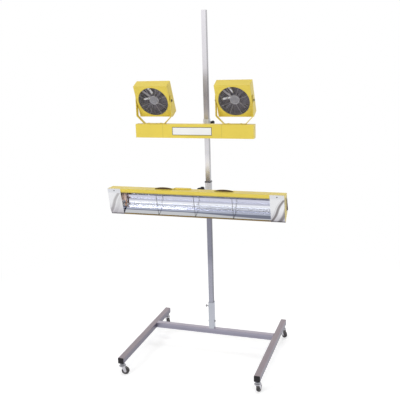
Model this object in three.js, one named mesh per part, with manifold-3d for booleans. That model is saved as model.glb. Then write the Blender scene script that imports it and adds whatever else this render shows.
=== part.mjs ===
// Infrared paint curing lamp on a rolling stand: a lamp head and a pair of fans slide on one square post.
// Millimetres, +Z up. The origin is on the floor under the middle of the base, and the lamp faces -Y.
import * as THREE from "three";
import { mergeVertices } from "three/addons/utils/BufferGeometryUtils.js";
import Module from "manifold-3d";

const wasm = await Module();
wasm.setup();

// Clearances, shared by every piece
const seat = 0.3; // between two pieces that rest on, or are fixed to, each other
const pinGap = 0.3; // round a pin or stud in its hole
const slideGap = 0.4; // on each side of a sleeve that slides on the post
const socketGap = 0.475; // on each side of the post in its socket
const overrun = 1; // how far a cut runs past the faces that it opens

// Base: two rails joined by a crossbar, all of one square tube
const railSide = 38.1;
const railWall = 2.1;
const railCorner = 3;
const railTop = 120.1;
const railSpread = 892; // from rail centre to rail centre
const baseLength = 853.5; // over the end caps
const endCapThickness = 4;
const endCapPlugDepth = 8;
const postSetback = 165.75; // the post stands this far behind the middle of the base

// Post and its socket on the crossbar
const postSide = 31.75;
const postShift = -12; // from the middle of the crossbar; the lamp and the fans stay over the middle
const postWall = 2.1;
const postCorner = 3;
const postTop = 2271.6;
const socketWall = 2.7;
const socketHeight = 194.7;
const socketBoltRise = 51.3; // above the crossbar
const socketBoltRadius = 4;
const socketBoltHeadRadius = 7.4;
const socketBoltHeadThickness = 5.3;
const socketBoltTail = 3;
const thumbScrewDrop = 33.4; // below the top of the socket
const thumbScrewRadius = 3;
const thumbScrewReach = 10; // from the socket's boss to the head
const thumbScrewHeadRadius = 9;
const thumbScrewHeadThickness = 8;
const socketBossRadius = 8;
const socketBossThickness = 5;

// Casters
const wheelRadius = 25.4;
const wheelWidth = 20;
const wheelEdge = 3.5; // rounding of the tread's edges
const axleRadius = 4;
const axleHeadRadius = 6.5;
const axleHeadThickness = 2;
const casterInset = 25; // from the end of the base to the swivel axis
const casterTrail = 18; // from the swivel axis to the axle
const forkGap = 1; // between the wheel and each leg
const forkSheet = 2.5;
const forkTop = 63.7;
const forkPlateRadius = 15;
const forkLegFrontReach = 13;
const forkEyeRadius = 9;
const swivelPinRadius = 6;
const swivelHeadRadius = 9;
const swivelHeadThickness = 2.5;
const racewayRadius = 17;
const racewayHeight = 9.4;
const racewayLip = 2.5;
const jamNutRadius = 11;
const stemRadius = 5;
const stemNutThickness = 7;
const stemTail = 2;
// Rest directions of the four wheels from their swivel axes, in degrees from +X
const casters = [
  { name: "left_front", side: -1, end: -1, heading: 10 },
  { name: "right_front", side: 1, end: -1, heading: 80 },
  { name: "left_rear", side: -1, end: 1, heading: -50 },
  { name: "right_rear", side: 1, end: 1, heading: -45 },
];

// Sleeves that slide on the post, and the arms that reach forward from them
const sleeveWall = 2.8;
const armSide = 25.4;
const armWall = 2;
const armCorner = 2;
const lockStudRadius = 5;
const lockBossRadius = 10;
const lockBossThickness = 7;

// Lamp carriage; heights are measured from the tilt axis
const lampHeight = 1105.3; // tilt axis above the floor
const lampReach = 233.8; // tilt axis ahead of the post
const lampSleeveLength = 150;
const lampSleeveDrop = 81.3;
const lampKnobRise = -1.3;
const lampKnobRadius = 30;
const lampKnobThickness = 24;
const lampKnobTaper = 27; // of the face beyond the lobes
const lampKnobReach = 6; // from the boss to the head
const barrelRadius = 11;
const barrelLength = 40;
const armPlate = 3;
const armLap = 3.2; // the arm's end plate runs this far into the barrel

// Lamp head section: depths run back from the top front edge, drops run down from it
const headLength = 1140;
const headSheet = 1.5;
const axisDepth = 144;
const axisDrop = 77;
const lipDepth = 4.1;
const lipDrop = 25;
const topDepth = 79;
const shoulderDepth = 86;
const shoulderDrop = 30;
const notchDepth = 72;
const notchTopDrop = 32;
const notchBottomDrop = 112;
const heelDepth = 104;
const heelDrop = 118;
const keelDepth = 42;
const keelDrop = 174;
const chinDepth = 22;
const chinDrop = 134;
const hemHeight = 6.5;
const slotLength = 115; // vent slots in the top of the housing
const slotWidth = 26;
const slotSpread = 368;
const slotSetback = 57;

// Wiring channel on the back of the head
const channelSheet = 1.2;
const channelTopDepth = 90;
const channelTopDrop = 35;
const channelHeelDepth = 122;
const channelHeelDrop = 115;
const glandSetover = -150;
const glandLift = 6;
const glandHoleRadius = 8;
const glandHexRadius = 14;
const glandHexThickness = 6;
const glandNutThickness = 2; // inside the channel
const glandNeckRadius = 7.5;
const glandDomeRadius = 11;
const glandDomeLength = 16;
const glandBoreRadius = 5;

// Reflector
const reflectorSheet = 1;
const reflectorLipDepth = 7.2;
const reflectorLipDrop = 25.8;
const reflectorShoulderDepth = 52.3;
const reflectorShoulderDrop = 46;
const reflectorCrownDepth = 65;
const reflectorCrownDrop = 74;
const reflectorKneeDepth = 65.8;
const reflectorKneeDrop = 114.7;
const reflectorToeDepth = 42.6;
const reflectorToeDrop = 165;

// Quartz lamp in the trough
const lampTubeDepth = 49;
const lampTubeDrop = 111;
const lampTubeRadius = 10;
const lampTubeWall = 1.3;
const lampTubeSetback = 70; // from each end of the head to the tube's end
const lampOffset = 11; // the lamp sits this far to the right of the middle
const coilRadius = 3;
const coilPlugLength = 14;
const holderSetback = 109; // from each end of the head to the holder's inner end
const holderLength = 46;
const holderBottomDrop = 80;
const holderFrontDepth = 30;
const holderBackDepth = 57;
const clipWidth = 8;
const clipSheet = 1.6;
const clipStemDepth = 3;

// End caps and guard wires over the mouth of the trough
const capWidth = 88;
const capSheet = 1.2;
const capEndGap = 0.5;
const capFlangeDepth = 8;
const capFlangeTopDrop = 36;
const capFlangeBottomDrop = 150;
const capScrewRadius = 4;
const capScrewHead = 2;
const guardWireRadius = 1.5;
const guardWireSpacing = 245.5;
const guardWireShift = 4.3;

// Tilt bracket on the wiring channel
const bracketSheet = 4;
const bracketGap = 0.5; // between each ear and the barrel
const bracketHalfHeight = 24;
const bracketEyeRadius = 14;
const bracketNutRadius = 10;
const bracketNutThickness = 8;
const tiltKnobRadius = 22;
const tiltKnobThickness = 16;
const tiltKnobTaper = 6;
const tiltKnobReach = 6;

// Fan carriage; heights are measured from the middle of the bar
const fanHeight = 1546.3;
const barReach = 321.7; // front of the bar ahead of the post
const barDepth = 50;
const barHeight = 84;
const barLength = 754;
const barSheet = 1.5;
const fanSleeveLength = 100;
const fanKnobRise = 18.2;
const fanKnobRadius = 16;
const fanKnobThickness = 14;
const fanKnobTaper = 5;
const fanKnobReach = 6;
const flangeWidth = 90;
const flangeHeight = 60;
const flangeThickness = 3;
const plateWidth = 253;
const plateHeight = 49;
const plateThickness = 1;
const plateOffset = -7.4;

// Fans and their yokes; the pivot axis is the origin of each fan
const fanSpread = 514;
const fanRise = 183.7; // pivot above the middle of the bar
const fanRestTilt = 25.9;
const fanWidth = 218.5;
const fanBoxHeight = 212;
const fanDepth = 68.6;
const fanFaceReach = 13.6; // front face ahead of the pivot
const fanSheet = 1.5;
const mouthRadius = 97;
const yokeWidth = 232;
const yokeSheet = 3;
const yokeStrap = 30;
const yokeRise = 30; // above the pivot
const yokeDrop = 93; // from the pivot down to the bend
const yokeEndCorner = 6;
const yokeRivetRadius = 6;
const yokeRivetHead = 2.5;
const yokeRivetSpread = 80;
const pivotRadius = 4;
const pivotHeadRadius = 8;
const pivotHeadThickness = 5;
const pivotSpacerRadius = 7;
const pivotNutThickness = 4;
const guardRingRadii = [46, 74, 101.5];
const guardWire = 2;
const guardSpokes = 4; // each runs right across
const motorRadius = 30;
const motorFront = 3; // behind the pivot
const motorThickness = 9;
const strutWidth = 12;
const strutThickness = 3;
const spindleRadius = 4;
const spindleEnd = 46;
const rotorFront = 18;
const rotorBack = 42;
const rotorHubRadius = 29;
const rotorHubWall = 3;
const rotorBushRadius = 9;
const rotorRadius = 92;
const bladeCount = 5;
const bladeThickness = 2;
const bladePitch = 26;
const grilleRadius = 92;
const grilleHubRadius = 26;
const grilleRings = 2;
const grilleSectors = 6;
const grilleBar = 5;

// Numbers of sides of round pieces
const fineSides = 24;
const plainSides = 12;
const hexSides = 6;
const wideSides = 30;

function finish(color, roughness, metalness) {
  return new THREE.MeshStandardMaterial({ color, roughness, metalness, flatShading: true });
}
const zinc = finish(0xb9b6c4, 0.35, 0.9);
const steel = finish(0x9d9ca4, 0.3, 1);
const yellow = finish(0xe6d45a, 0.45, 0);
const polished = finish(0xe2e3e8, 0.15, 1);
const blackPlastic = finish(0x1d1c20, 0.55, 0);
const rubber = finish(0x2b292c, 0.8, 0);
const channelBrown = finish(0x4a3324, 0.6, 0.2);
const quartz = finish(0xf4f6ff, 0.1, 0);
const tungsten = finish(0x8a8078, 0.5, 0.8);
const ceramic = finish(0xdcc6b6, 0.7, 0);
const whitePlate = finish(0xf3f3f0, 0.5, 0);
const fanGrey = finish(0x5b5662, 0.5, 0.3);
const hubGrey = finish(0x9695a0, 0.45, 0.4);

// Joins and cuts
function solidOf(geometry) {
  const bare = geometry.clone();
  bare.deleteAttribute("normal");
  bare.deleteAttribute("uv");
  const merged = mergeVertices(bare);
  const vertProperties = merged.getAttribute("position").array;
  const triVerts = new Uint32Array(merged.getIndex().array);
  return new wasm.Manifold(new wasm.Mesh({ numProp: 3, vertProperties, triVerts }));
}

function geometryOf(solid) {
  const { vertProperties, triVerts } = solid.getMesh();
  const geometry = new THREE.BufferGeometry();
  geometry.setAttribute("position", new THREE.BufferAttribute(vertProperties, 3));
  geometry.setIndex(new THREE.BufferAttribute(triVerts, 1));
  return geometry;
}

function join(first, ...others) {
  return geometryOf(others.reduce((whole, other) => whole.add(solidOf(other)), solidOf(first)));
}

function cut(first, ...others) {
  return geometryOf(others.reduce((whole, other) => whole.subtract(solidOf(other)), solidOf(first)));
}

function overlap(first, second) {
  return geometryOf(solidOf(first).intersect(solidOf(second)));
}

// Basic shapes
function vec(a, b) {
  return new THREE.Vector2(a, b);
}

// A block between two places on each axis
function block([x0, x1], [y0, y1], [z0, z1]) {
  const box = new THREE.BoxGeometry(x1 - x0, y1 - y0, z1 - z0);
  return box.translate((x0 + x1) / 2, (y0 + y1) / 2, (z0 + z1) / 2);
}

function centred(size) {
  return [-size / 2, size / 2];
}

// A round or hexagonal rod between two places on the named axis, through the point (a, b) on the other two
function rod(axis, [from, to], radius, sides = plainSides, a = 0, b = 0) {
  const bar = new THREE.CylinderGeometry(radius, radius, to - from, sides);
  const middle = (from + to) / 2;
  if (axis === "x") return bar.rotateZ(-Math.PI / 2).translate(middle, a, b);
  if (axis === "y") return bar.translate(a, middle, b);
  return bar.rotateX(Math.PI / 2).translate(a, b, middle);
}

// A turned piece about Z; the profile goes up the outside as [radius, height] pairs
function turned(profile, sides = plainSides) {
  return new THREE.LatheGeometry(profile.map(([r, h]) => vec(r, h)), sides).rotateX(Math.PI / 2);
}

// Points of an arc, from one angle to another in degrees
function arc(centre, radius, from, to, steps) {
  return Array.from({ length: steps + 1 }, (_, i) => {
    const angle = THREE.MathUtils.degToRad(from + ((to - from) * i) / steps);
    return vec(centre.x + radius * Math.cos(angle), centre.y + radius * Math.sin(angle));
  });
}

// An outline in Y and Z, carried along X between two places
const yzToX = new THREE.Matrix4().makeBasis(
  new THREE.Vector3(0, 1, 0),
  new THREE.Vector3(0, 0, 1),
  new THREE.Vector3(1, 0, 0),
);
function carriedX(outline, [from, to]) {
  const options = { depth: to - from, bevelEnabled: false };
  const body = new THREE.ExtrudeGeometry(new THREE.Shape(outline), options);
  return body.applyMatrix4(yzToX).translate(from, 0, 0);
}

// An outline in X and Z, carried along Y between two places
function carriedY(outline, [from, to]) {
  const options = { depth: to - from, bevelEnabled: false };
  const body = new THREE.ExtrudeGeometry(new THREE.Shape(outline), options);
  return body.rotateX(Math.PI / 2).translate(0, to, 0);
}

// A path moved sideways, to its left for a positive distance, with mitred corners
function moved(path, distance) {
  const left = (from, to) => vec(from.y - to.y, to.x - from.x).normalize();
  return path.map((point, i) => {
    const before = left(path[Math.max(i - 1, 0)], path[Math.max(i, 1)]);
    const after = left(path[Math.min(i, path.length - 2)], path[Math.min(i + 1, path.length - 1)]);
    const mitre = before.clone().add(after).normalize();
    return point.clone().addScaledVector(mitre, distance / mitre.dot(before));
  });
}

// The outline of a sheet that is bent along a path, with its thickness to one side
function bentSheet(path, thickness) {
  return [...path, ...moved(path, thickness).reverse()];
}

function roundedSquare(side, corner) {
  const half = side / 2 - corner;
  const cornerSteps = 2;
  const quarters = [[half, half, 0], [-half, half, 90], [-half, -half, 180], [half, -half, 270]];
  return quarters.flatMap(([x, y, from]) => arc(vec(x, y), corner, from, from + 90, cornerSteps));
}

// A square tube that stands on z = 0
function squareTube(side, wall, corner, length) {
  const shape = new THREE.Shape(roundedSquare(side, corner));
  shape.holes.push(new THREE.Path(roundedSquare(side - 2 * wall, Math.max(corner - wall, wall / 2))));
  return new THREE.ExtrudeGeometry(shape, { depth: length, bevelEnabled: false });
}

function piece(parent, name, geometry, material) {
  const mesh = new THREE.Mesh(geometry, material);
  mesh.name = name;
  parent.add(mesh);
}

function group(parent, x = 0, y = 0, z = 0) {
  const child = new THREE.Group();
  child.position.set(x, y, z);
  parent.add(child);
  return child;
}

const lamp = new THREE.Group();

// Base frame
const railMiddle = railTop - railSide / 2;
const railUnderside = railTop - railSide;
const railLength = baseLength - 2 * (endCapThickness + seat);
const stemHoleRadius = stemRadius + pinGap;
const casterY = baseLength / 2 - casterInset;

function rail() {
  const tube = squareTube(railSide, railWall, railCorner, railLength).rotateX(-Math.PI / 2);
  tube.translate(0, -railLength / 2, railMiddle);
  const depth = [railUnderside - overrun, railUnderside + railWall + overrun];
  const holes = [-casterY, casterY].map((y) => rod("z", depth, stemHoleRadius, plainSides, 0, y));
  return cut(tube, ...holes);
}

// A plastic cap with a plug, its face towards +Y
function railEndCap() {
  const options = { depth: endCapThickness, bevelEnabled: false };
  const face = new THREE.ExtrudeGeometry(new THREE.Shape(roundedSquare(railSide, railCorner)), options);
  face.rotateX(-Math.PI / 2);
  const plugSide = railSide - 2 * (railWall + seat);
  const plugDepth = endCapPlugDepth + seat;
  const plug = block(centred(plugSide), [-plugDepth, overrun], centred(plugSide));
  return join(face, plug);
}

const crossbarHalf = railSpread / 2 - railSide / 2 - seat;
for (const side of [-1, 1]) {
  const sideName = side < 0 ? "left" : "right";
  const railGroup = group(lamp, (side * railSpread) / 2);
  piece(railGroup, sideName + "_rail", rail(), zinc);
  for (const end of [-1, 1]) {
    const capGroup = group(railGroup, 0, end * (railLength / 2 + seat), railMiddle);
    capGroup.rotation.z = end < 0 ? Math.PI : 0;
    const endName = end < 0 ? "front" : "rear";
    piece(capGroup, "rail_end_cap_" + sideName + "_" + endName, railEndCap(), blackPlastic);
  }
}

const upright = group(lamp, 0, postSetback);
const crossbar = squareTube(railSide, railWall, railCorner, 2 * crossbarHalf).rotateY(Math.PI / 2);
piece(upright, "crossbar", crossbar.translate(-crossbarHalf, 0, railMiddle), zinc);

// Post, socket and their bolts
const stand = group(upright, postShift);
const footHeight = railTop + seat;
const socketSide = postSide + 2 * (socketGap + socketWall);
const socketBoltHeight = railTop + socketBoltRise;
const socketTop = footHeight + socketHeight;
const thumbScrewHeight = socketTop - thumbScrewDrop;
const across = centred(socketSide + 2 * overrun);
const boltHole = rod("x", across, socketBoltRadius + pinGap, plainSides, 0, socketBoltHeight);

const socketBossFace = -socketSide / 2 - socketBossThickness;
const socketBossSpan = [socketBossFace, -socketSide / 2 + overrun];
const socketBoss = rod("x", socketBossSpan, socketBossRadius, hexSides, 0, thumbScrewHeight);
const thumbHole = [socketBossFace - overrun, -postSide / 2];
const socketTube = squareTube(socketSide, socketWall, postCorner, socketHeight).translate(0, 0, footHeight);
const socketBody = cut(
  join(socketTube, socketBoss),
  boltHole,
  rod("x", thumbHole, thumbScrewRadius + pinGap, plainSides, 0, thumbScrewHeight),
);
piece(stand, "post_socket", socketBody, zinc);

const postTube = squareTube(postSide, postWall, postCorner, postTop - footHeight).translate(0, 0, footHeight);
piece(stand, "post", cut(postTube, boltHole), zinc);

const boltSeat = socketSide / 2 + seat;
const socketBolt = join(
  rod("x", [-boltSeat - overrun, boltSeat + socketBoltHeadThickness + socketBoltTail], socketBoltRadius),
  rod("x", [-boltSeat - socketBoltHeadThickness, -boltSeat], socketBoltHeadRadius, hexSides),
  rod("x", [boltSeat, boltSeat + socketBoltHeadThickness], socketBoltHeadRadius, hexSides),
);
piece(stand, "socket_bolt", socketBolt.translate(0, 0, socketBoltHeight), steel);

const thumbHeadInner = socketBossFace - thumbScrewReach;
const thumbScrew = join(
  rod("x", [thumbHeadInner - overrun, -postSide / 2 - seat], thumbScrewRadius),
  rod("x", [thumbHeadInner - thumbScrewHeadThickness, thumbHeadInner], thumbScrewHeadRadius),
);
piece(stand, "socket_thumb_screw", thumbScrew.translate(0, 0, thumbScrewHeight), steel);

// Casters: each group stands on the floor under its swivel axis, with the wheel towards +X
function casterStem() {
  const headTop = forkTop - forkSheet - seat;
  const racewayBottom = forkTop + seat;
  const racewayTop = racewayBottom + racewayHeight;
  const nutFloor = railUnderside + railWall + seat;
  const round = turned([
    [0, headTop - swivelHeadThickness],
    [swivelHeadRadius, headTop - swivelHeadThickness],
    [swivelHeadRadius, headTop],
    [swivelPinRadius, headTop],
    [swivelPinRadius, racewayBottom],
    [racewayRadius - racewayLip, racewayBottom],
    [racewayRadius, racewayBottom + racewayLip],
    [racewayRadius, racewayTop - racewayLip],
    [racewayRadius - racewayLip, racewayTop],
    [stemRadius, racewayTop],
    [stemRadius, nutFloor + stemNutThickness + stemTail],
    [0, nutFloor + stemNutThickness + stemTail],
  ]);
  const jamNut = rod("z", [racewayTop - overrun, railUnderside - seat], jamNutRadius, hexSides);
  const innerNut = rod("z", [nutFloor, nutFloor + stemNutThickness], jamNutRadius, hexSides);
  return join(round, jamNut, innerNut);
}

function casterFork() {
  const plateBottom = forkTop - forkSheet;
  const eye = vec(casterTrail, wheelRadius);
  const legOutline = [
    vec(-forkLegFrontReach, forkTop),
    ...arc(eye, forkEyeRadius, 190, 350, hexSides),
    vec(casterTrail, plateBottom),
    vec(casterTrail - forkSheet, forkTop),
  ];
  const inner = wheelWidth / 2 + forkGap;
  const outer = inner + forkSheet;
  const legs = [[-outer, -inner], [inner, outer]];
  const plateSpan = [plateBottom, forkTop];
  const plate = join(
    rod("z", plateSpan, forkPlateRadius),
    block([-forkLegFrontReach, casterTrail - forkSheet], centred(2 * outer), plateSpan),
  );
  const axleSpan = centred(2 * (outer + overrun));
  const axle = rod("y", axleSpan, axleRadius, plainSides, casterTrail, wheelRadius);
  const headSpans = [[-outer - axleHeadThickness, -outer + seat], [outer - seat, outer + axleHeadThickness]];
  const heads = headSpans.map((span) => rod("y", span, axleHeadRadius, plainSides, casterTrail, wheelRadius));
  const body = join(plate, ...legs.map((span) => carriedY(legOutline, span)), axle, ...heads);
  const pinHole = [plateBottom - overrun, forkTop + overrun];
  return cut(body, rod("z", pinHole, swivelPinRadius + pinGap));
}

// The wheel has a flat side of its many-sided tread on the floor
function casterWheel() {
  const half = wheelWidth / 2;
  const bore = axleRadius + pinGap;
  const tread = wheelRadius / Math.cos(Math.PI / fineSides);
  const profile = [
    [bore, -half],
    [tread - wheelEdge, -half],
    [tread, -half + wheelEdge],
    [tread, half - wheelEdge],
    [tread - wheelEdge, half],
    [bore, half],
    [bore, -half],
  ];
  return turned(profile, fineSides).rotateZ(Math.PI / fineSides).rotateX(Math.PI / 2);
}

for (const { name, side, end, heading } of casters) {
  const caster = group(lamp, (side * railSpread) / 2, end * casterY);
  piece(caster, "caster_stem_" + name, casterStem(), steel);
  const swivel = group(caster);
  swivel.rotation.z = THREE.MathUtils.degToRad(heading);
  piece(swivel, "caster_fork_" + name, casterFork(), zinc);
  const wheel = group(swivel, casterTrail, 0, wheelRadius);
  piece(wheel, "caster_wheel_" + name, casterWheel(), rubber);
}

// Sleeves and knobs. A sleeve's boss and its lock knob are on the left for side -1, on the right for side 1
const sleeveSide = postSide + 2 * (slideGap + sleeveWall);

function sleeve(bottom, length, side, bossHeight) {
  const tube = squareTube(sleeveSide, sleeveWall, postCorner, length).translate(0, 0, bottom);
  const bossSpan = [sleeveSide / 2 - sleeveWall / 2, sleeveSide / 2 + lockBossThickness];
  const boss = rod("x", bossSpan, lockBossRadius, hexSides, 0, bossHeight);
  const holeSpan = [postSide / 2, sleeveSide / 2 + lockBossThickness + overrun];
  const hole = rod("x", holeSpan, lockStudRadius + pinGap, plainSides, 0, bossHeight);
  return cut(join(tube, mirrored(boss, side)), mirrored(hole, side));
}

// Turns a piece that was made on the right round to the left
function mirrored(geometry, side) {
  return side < 0 ? geometry.rotateZ(Math.PI) : geometry;
}

// A knob with three lobes on a stud along +X: the stud's tip is at one place, the head starts at another, the
// face tapers beyond the lobes, and a collar reaches from the head to the piece that the knob clamps
function lobedKnob(radius, [thickness, taper], [tip, headStart], reach) {
  const lobes = 3;
  const lobeShare = 0.14;
  const collarShare = 0.42;
  const faceShare = 0.4;
  const outline = Array.from({ length: wideSides }, (_, i) => {
    const angle = (i * 2 * Math.PI) / wideSides;
    const span = radius * (1 - lobeShare + lobeShare * Math.cos(lobes * angle));
    return vec(span * Math.sin(angle), span * Math.cos(angle));
  });
  const lobesEnd = headStart + thickness;
  const head = carriedX(outline, [headStart, lobesEnd]);
  const coneBase = radius * (1 - 2 * lobeShare);
  const cone = new THREE.CylinderGeometry(radius * faceShare, coneBase, taper + overrun, wideSides);
  cone.rotateZ(-Math.PI / 2).translate(lobesEnd + (taper - overrun) / 2, 0, 0);
  const collarRadius = radius * collarShare;
  const collar = rod("x", [headStart - reach + seat, headStart + overrun], collarRadius);
  return join(head, cone, collar, rod("x", [tip, headStart + overrun], lockStudRadius));
}

// An arm from a sleeve forward to a place ahead of the post
function armTube(front) {
  const back = sleeveSide / 2 + seat;
  return squareTube(armSide, armWall, armCorner, front - back).rotateX(Math.PI / 2).translate(0, -back, 0);
}

// Lamp carriage
const lampCarriage = group(upright, postShift, 0, lampHeight);
piece(lampCarriage, "lamp_sleeve", sleeve(-lampSleeveDrop, lampSleeveLength, -1, lampKnobRise), zinc);

const knobTip = postSide / 2 + seat;
const bossFace = sleeveSide / 2 + lockBossThickness;
const lampKnobPlace = [knobTip, bossFace + lampKnobReach];
const lampKnobSize = [lampKnobThickness, lampKnobTaper];
const lampKnob = lobedKnob(lampKnobRadius, lampKnobSize, lampKnobPlace, lampKnobReach);
piece(lampCarriage, "lamp_lock_knob", mirrored(lampKnob, -1).translate(0, 0, lampKnobRise), blackPlastic);

const armFront = lampReach - barrelRadius + armLap;
const barrelSpan = centred(barrelLength);
const lampArm = cut(
  join(
    armTube(armFront),
    block(centred(armSide - armWall), [-armFront, -armFront + armPlate], centred(armSide - armWall)),
    rod("x", barrelSpan, barrelRadius, fineSides, -lampReach),
  ),
  rod("x", centred(barrelLength + 2 * overrun), lockStudRadius + pinGap, plainSides, -lampReach),
);
piece(lampCarriage, "lamp_arm", lampArm, zinc);

// Lamp head: its group turns about the tilt axis
const head = group(lampCarriage, -postShift, -lampReach);

// A point of the head's section, from its depth and drop
function section(depth, drop) {
  return vec(depth - axisDepth, axisDrop - drop);
}
const frontTop = section(0, 0);
const lip = section(lipDepth, lipDrop);
const chin = section(chinDepth, chinDrop);
const keel = section(keelDepth, keelDrop);
const heel = section(heelDepth, heelDrop);
const notchBottom = section(notchDepth, notchBottomDrop);
const notchTop = section(notchDepth, notchTopDrop);
const shoulder = section(shoulderDepth, shoulderDrop);
const rearTop = section(topDepth, 0);
const headEnd = headLength / 2;
const capInner = headEnd - capWidth;

function lampHousing() {
  const keelInner = keel.clone().addScaledVector(heel.clone().sub(keel).normalize(), headSheet);
  const shellPath = [lip, frontTop, rearTop, shoulder, notchTop, notchBottom, heel, keelInner];
  const shell = carriedX(bentSheet(shellPath, -headSheet), centred(headLength - headSheet));
  const plateOutline = [frontTop, rearTop, shoulder, notchTop, notchBottom, heel, keel, chin];
  const plates = [[-headEnd, -headEnd + headSheet], [headEnd - headSheet, headEnd]];
  const hemTop = keel.clone().addScaledVector(chin.clone().sub(keel).normalize(), hemHeight);
  const hemPath = [keelInner, keel, hemTop];
  const hem = carriedX(bentSheet(hemPath, -headSheet), centred(2 * (capInner - capEndGap)));
  const slotY = frontTop.x + slotSetback;
  const slots = [-1, 1].map((side) => {
    const middle = (side * slotSpread) / 2;
    return block(
      [middle - slotLength / 2, middle + slotLength / 2],
      [slotY - slotWidth / 2, slotY + slotWidth / 2],
      [frontTop.y - headSheet - overrun, frontTop.y + overrun],
    );
  });
  return cut(join(shell, ...plates.map((span) => carriedX(plateOutline, span)), hem), ...slots);
}
piece(head, "lamp_housing", lampHousing(), yellow);

// Wiring channel: a cover on the back, open towards the housing, with the gland's hole in its rear face
const channelTop = section(channelTopDepth, channelTopDrop);
const channelHeel = section(channelHeelDepth, channelHeelDrop);
const rearFaceWay = channelHeel.clone().sub(channelTop).normalize();
const rearFaceOut = vec(-rearFaceWay.y, rearFaceWay.x);
const rearFaceLean = Math.atan2(rearFaceOut.y, rearFaceOut.x);
const rearFaceY = channelTop.dot(rearFaceOut);

function wiringChannel() {
  const start = section(notchDepth + seat, notchTopDrop + 2 * seat);
  const end = section(notchDepth + seat, notchBottomDrop - 2 * seat);
  const path = [start, channelTop, channelHeel, end];
  const cover = carriedX(bentSheet(path, -channelSheet), centred(headLength));
  const ends = [[-headEnd, -headEnd + channelSheet], [headEnd - channelSheet, headEnd]];
  const hole = rod("y", [rearFaceY - channelSheet - overrun, rearFaceY + overrun], glandHoleRadius);
  hole.translate(glandSetover, 0, glandLift).rotateX(rearFaceLean);
  return cut(join(cover, ...ends.map((span) => carriedX(path, span))), hole);
}
piece(head, "wiring_channel", wiringChannel(), channelBrown);

// Pieces on the channel's rear face: here +Y points squarely out of that face
const rearSide = group(head);
rearSide.rotation.x = rearFaceLean;

function tiltBracket() {
  const base = rearFaceY + seat;
  const earInner = barrelLength / 2 + bracketGap;
  const earOuter = earInner + bracketSheet;
  const foot = block(centred(2 * earOuter), [base, base + bracketSheet], centred(2 * bracketHalfHeight));
  const ear = [
    vec(base, bracketHalfHeight),
    vec(base, -bracketHalfHeight),
    ...arc(vec(0, 0), bracketEyeRadius, -70, 70, hexSides),
  ];
  const nut = rod("x", [-earOuter - bracketNutThickness, -earInner - seat], bracketNutRadius, hexSides);
  const span = [-earOuter - bracketNutThickness - overrun, earOuter + overrun];
  return cut(
    join(foot, carriedX(ear, [-earOuter, -earInner]), carriedX(ear, [earInner, earOuter]), nut),
    rod("x", span, lockStudRadius + pinGap),
  );
}
piece(rearSide, "lamp_bracket", tiltBracket().translate(postShift, 0, 0), zinc);

const tiltKnobStart = barrelLength / 2 + bracketGap + bracketSheet + tiltKnobReach;
const tiltTip = -barrelLength / 2 - bracketGap - bracketSheet - bracketNutThickness;
const tiltKnobSize = [tiltKnobThickness, tiltKnobTaper];
const tiltKnob = lobedKnob(tiltKnobRadius, tiltKnobSize, [tiltTip, tiltKnobStart], tiltKnobReach);
piece(head, "tilt_knob", tiltKnob.translate(postShift, 0, 0), blackPlastic);

function cableGland() {
  const face = rearFaceY + seat;
  const innerFace = rearFaceY - channelSheet - seat;
  const neckEnd = innerFace - glandHexThickness;
  const domeEnd = face + glandHexThickness + glandDomeLength;
  const body = join(
    rod("y", [face, face + glandHexThickness], glandHexRadius, hexSides),
    rod("y", [neckEnd, face + overrun], glandNeckRadius),
    rod("y", [face, domeEnd], glandDomeRadius),
    rod("y", [innerFace - glandNutThickness, innerFace], glandDomeRadius),
  );
  const bore = rod("y", [neckEnd - overrun, domeEnd + overrun], glandBoreRadius);
  return cut(body, bore).translate(glandSetover, 0, glandLift);
}
piece(rearSide, "cable_gland", cableGland(), blackPlastic);

// Reflector: a folded bright sheet behind the lamp tube
const reflectorPath = [
  section(reflectorLipDepth, reflectorLipDrop),
  section(reflectorShoulderDepth, reflectorShoulderDrop),
  section(reflectorCrownDepth, reflectorCrownDrop),
  section(reflectorKneeDepth, reflectorKneeDrop),
  section(reflectorToeDepth, reflectorToeDrop),
];
const reflectorSpan = centred(headLength - 2 * (headSheet + seat));
piece(head, "lamp_reflector", carriedX(bentSheet(reflectorPath, reflectorSheet), reflectorSpan), polished);

// Quartz tube, the coil inside it, and the two holders
const lampAxis = section(lampTubeDepth, lampTubeDrop);
const lampBody = group(head, lampOffset, lampAxis.x, lampAxis.y);
const lampTubeLength = headLength - 2 * lampTubeSetback;
const lampBore = lampTubeRadius - lampTubeWall;
piece(
  lampBody,
  "quartz_tube",
  cut(
    rod("x", centred(lampTubeLength), lampTubeRadius, fineSides),
    rod("x", centred(lampTubeLength + 2 * overrun), lampBore, fineSides),
  ),
  quartz,
);
const coilEnd = lampTubeLength / 2;
piece(
  lampBody,
  "heating_coil",
  join(
    rod("x", centred(lampTubeLength - coilPlugLength), coilRadius, plainSides),
    ...[-1, 1].map((side) => {
      const span = [coilEnd - coilPlugLength, coilEnd].map((x) => side * x).sort((a, b) => a - b);
      return rod("x", span, lampBore - seat, fineSides);
    }),
  ),
  tungsten,
);

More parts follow.
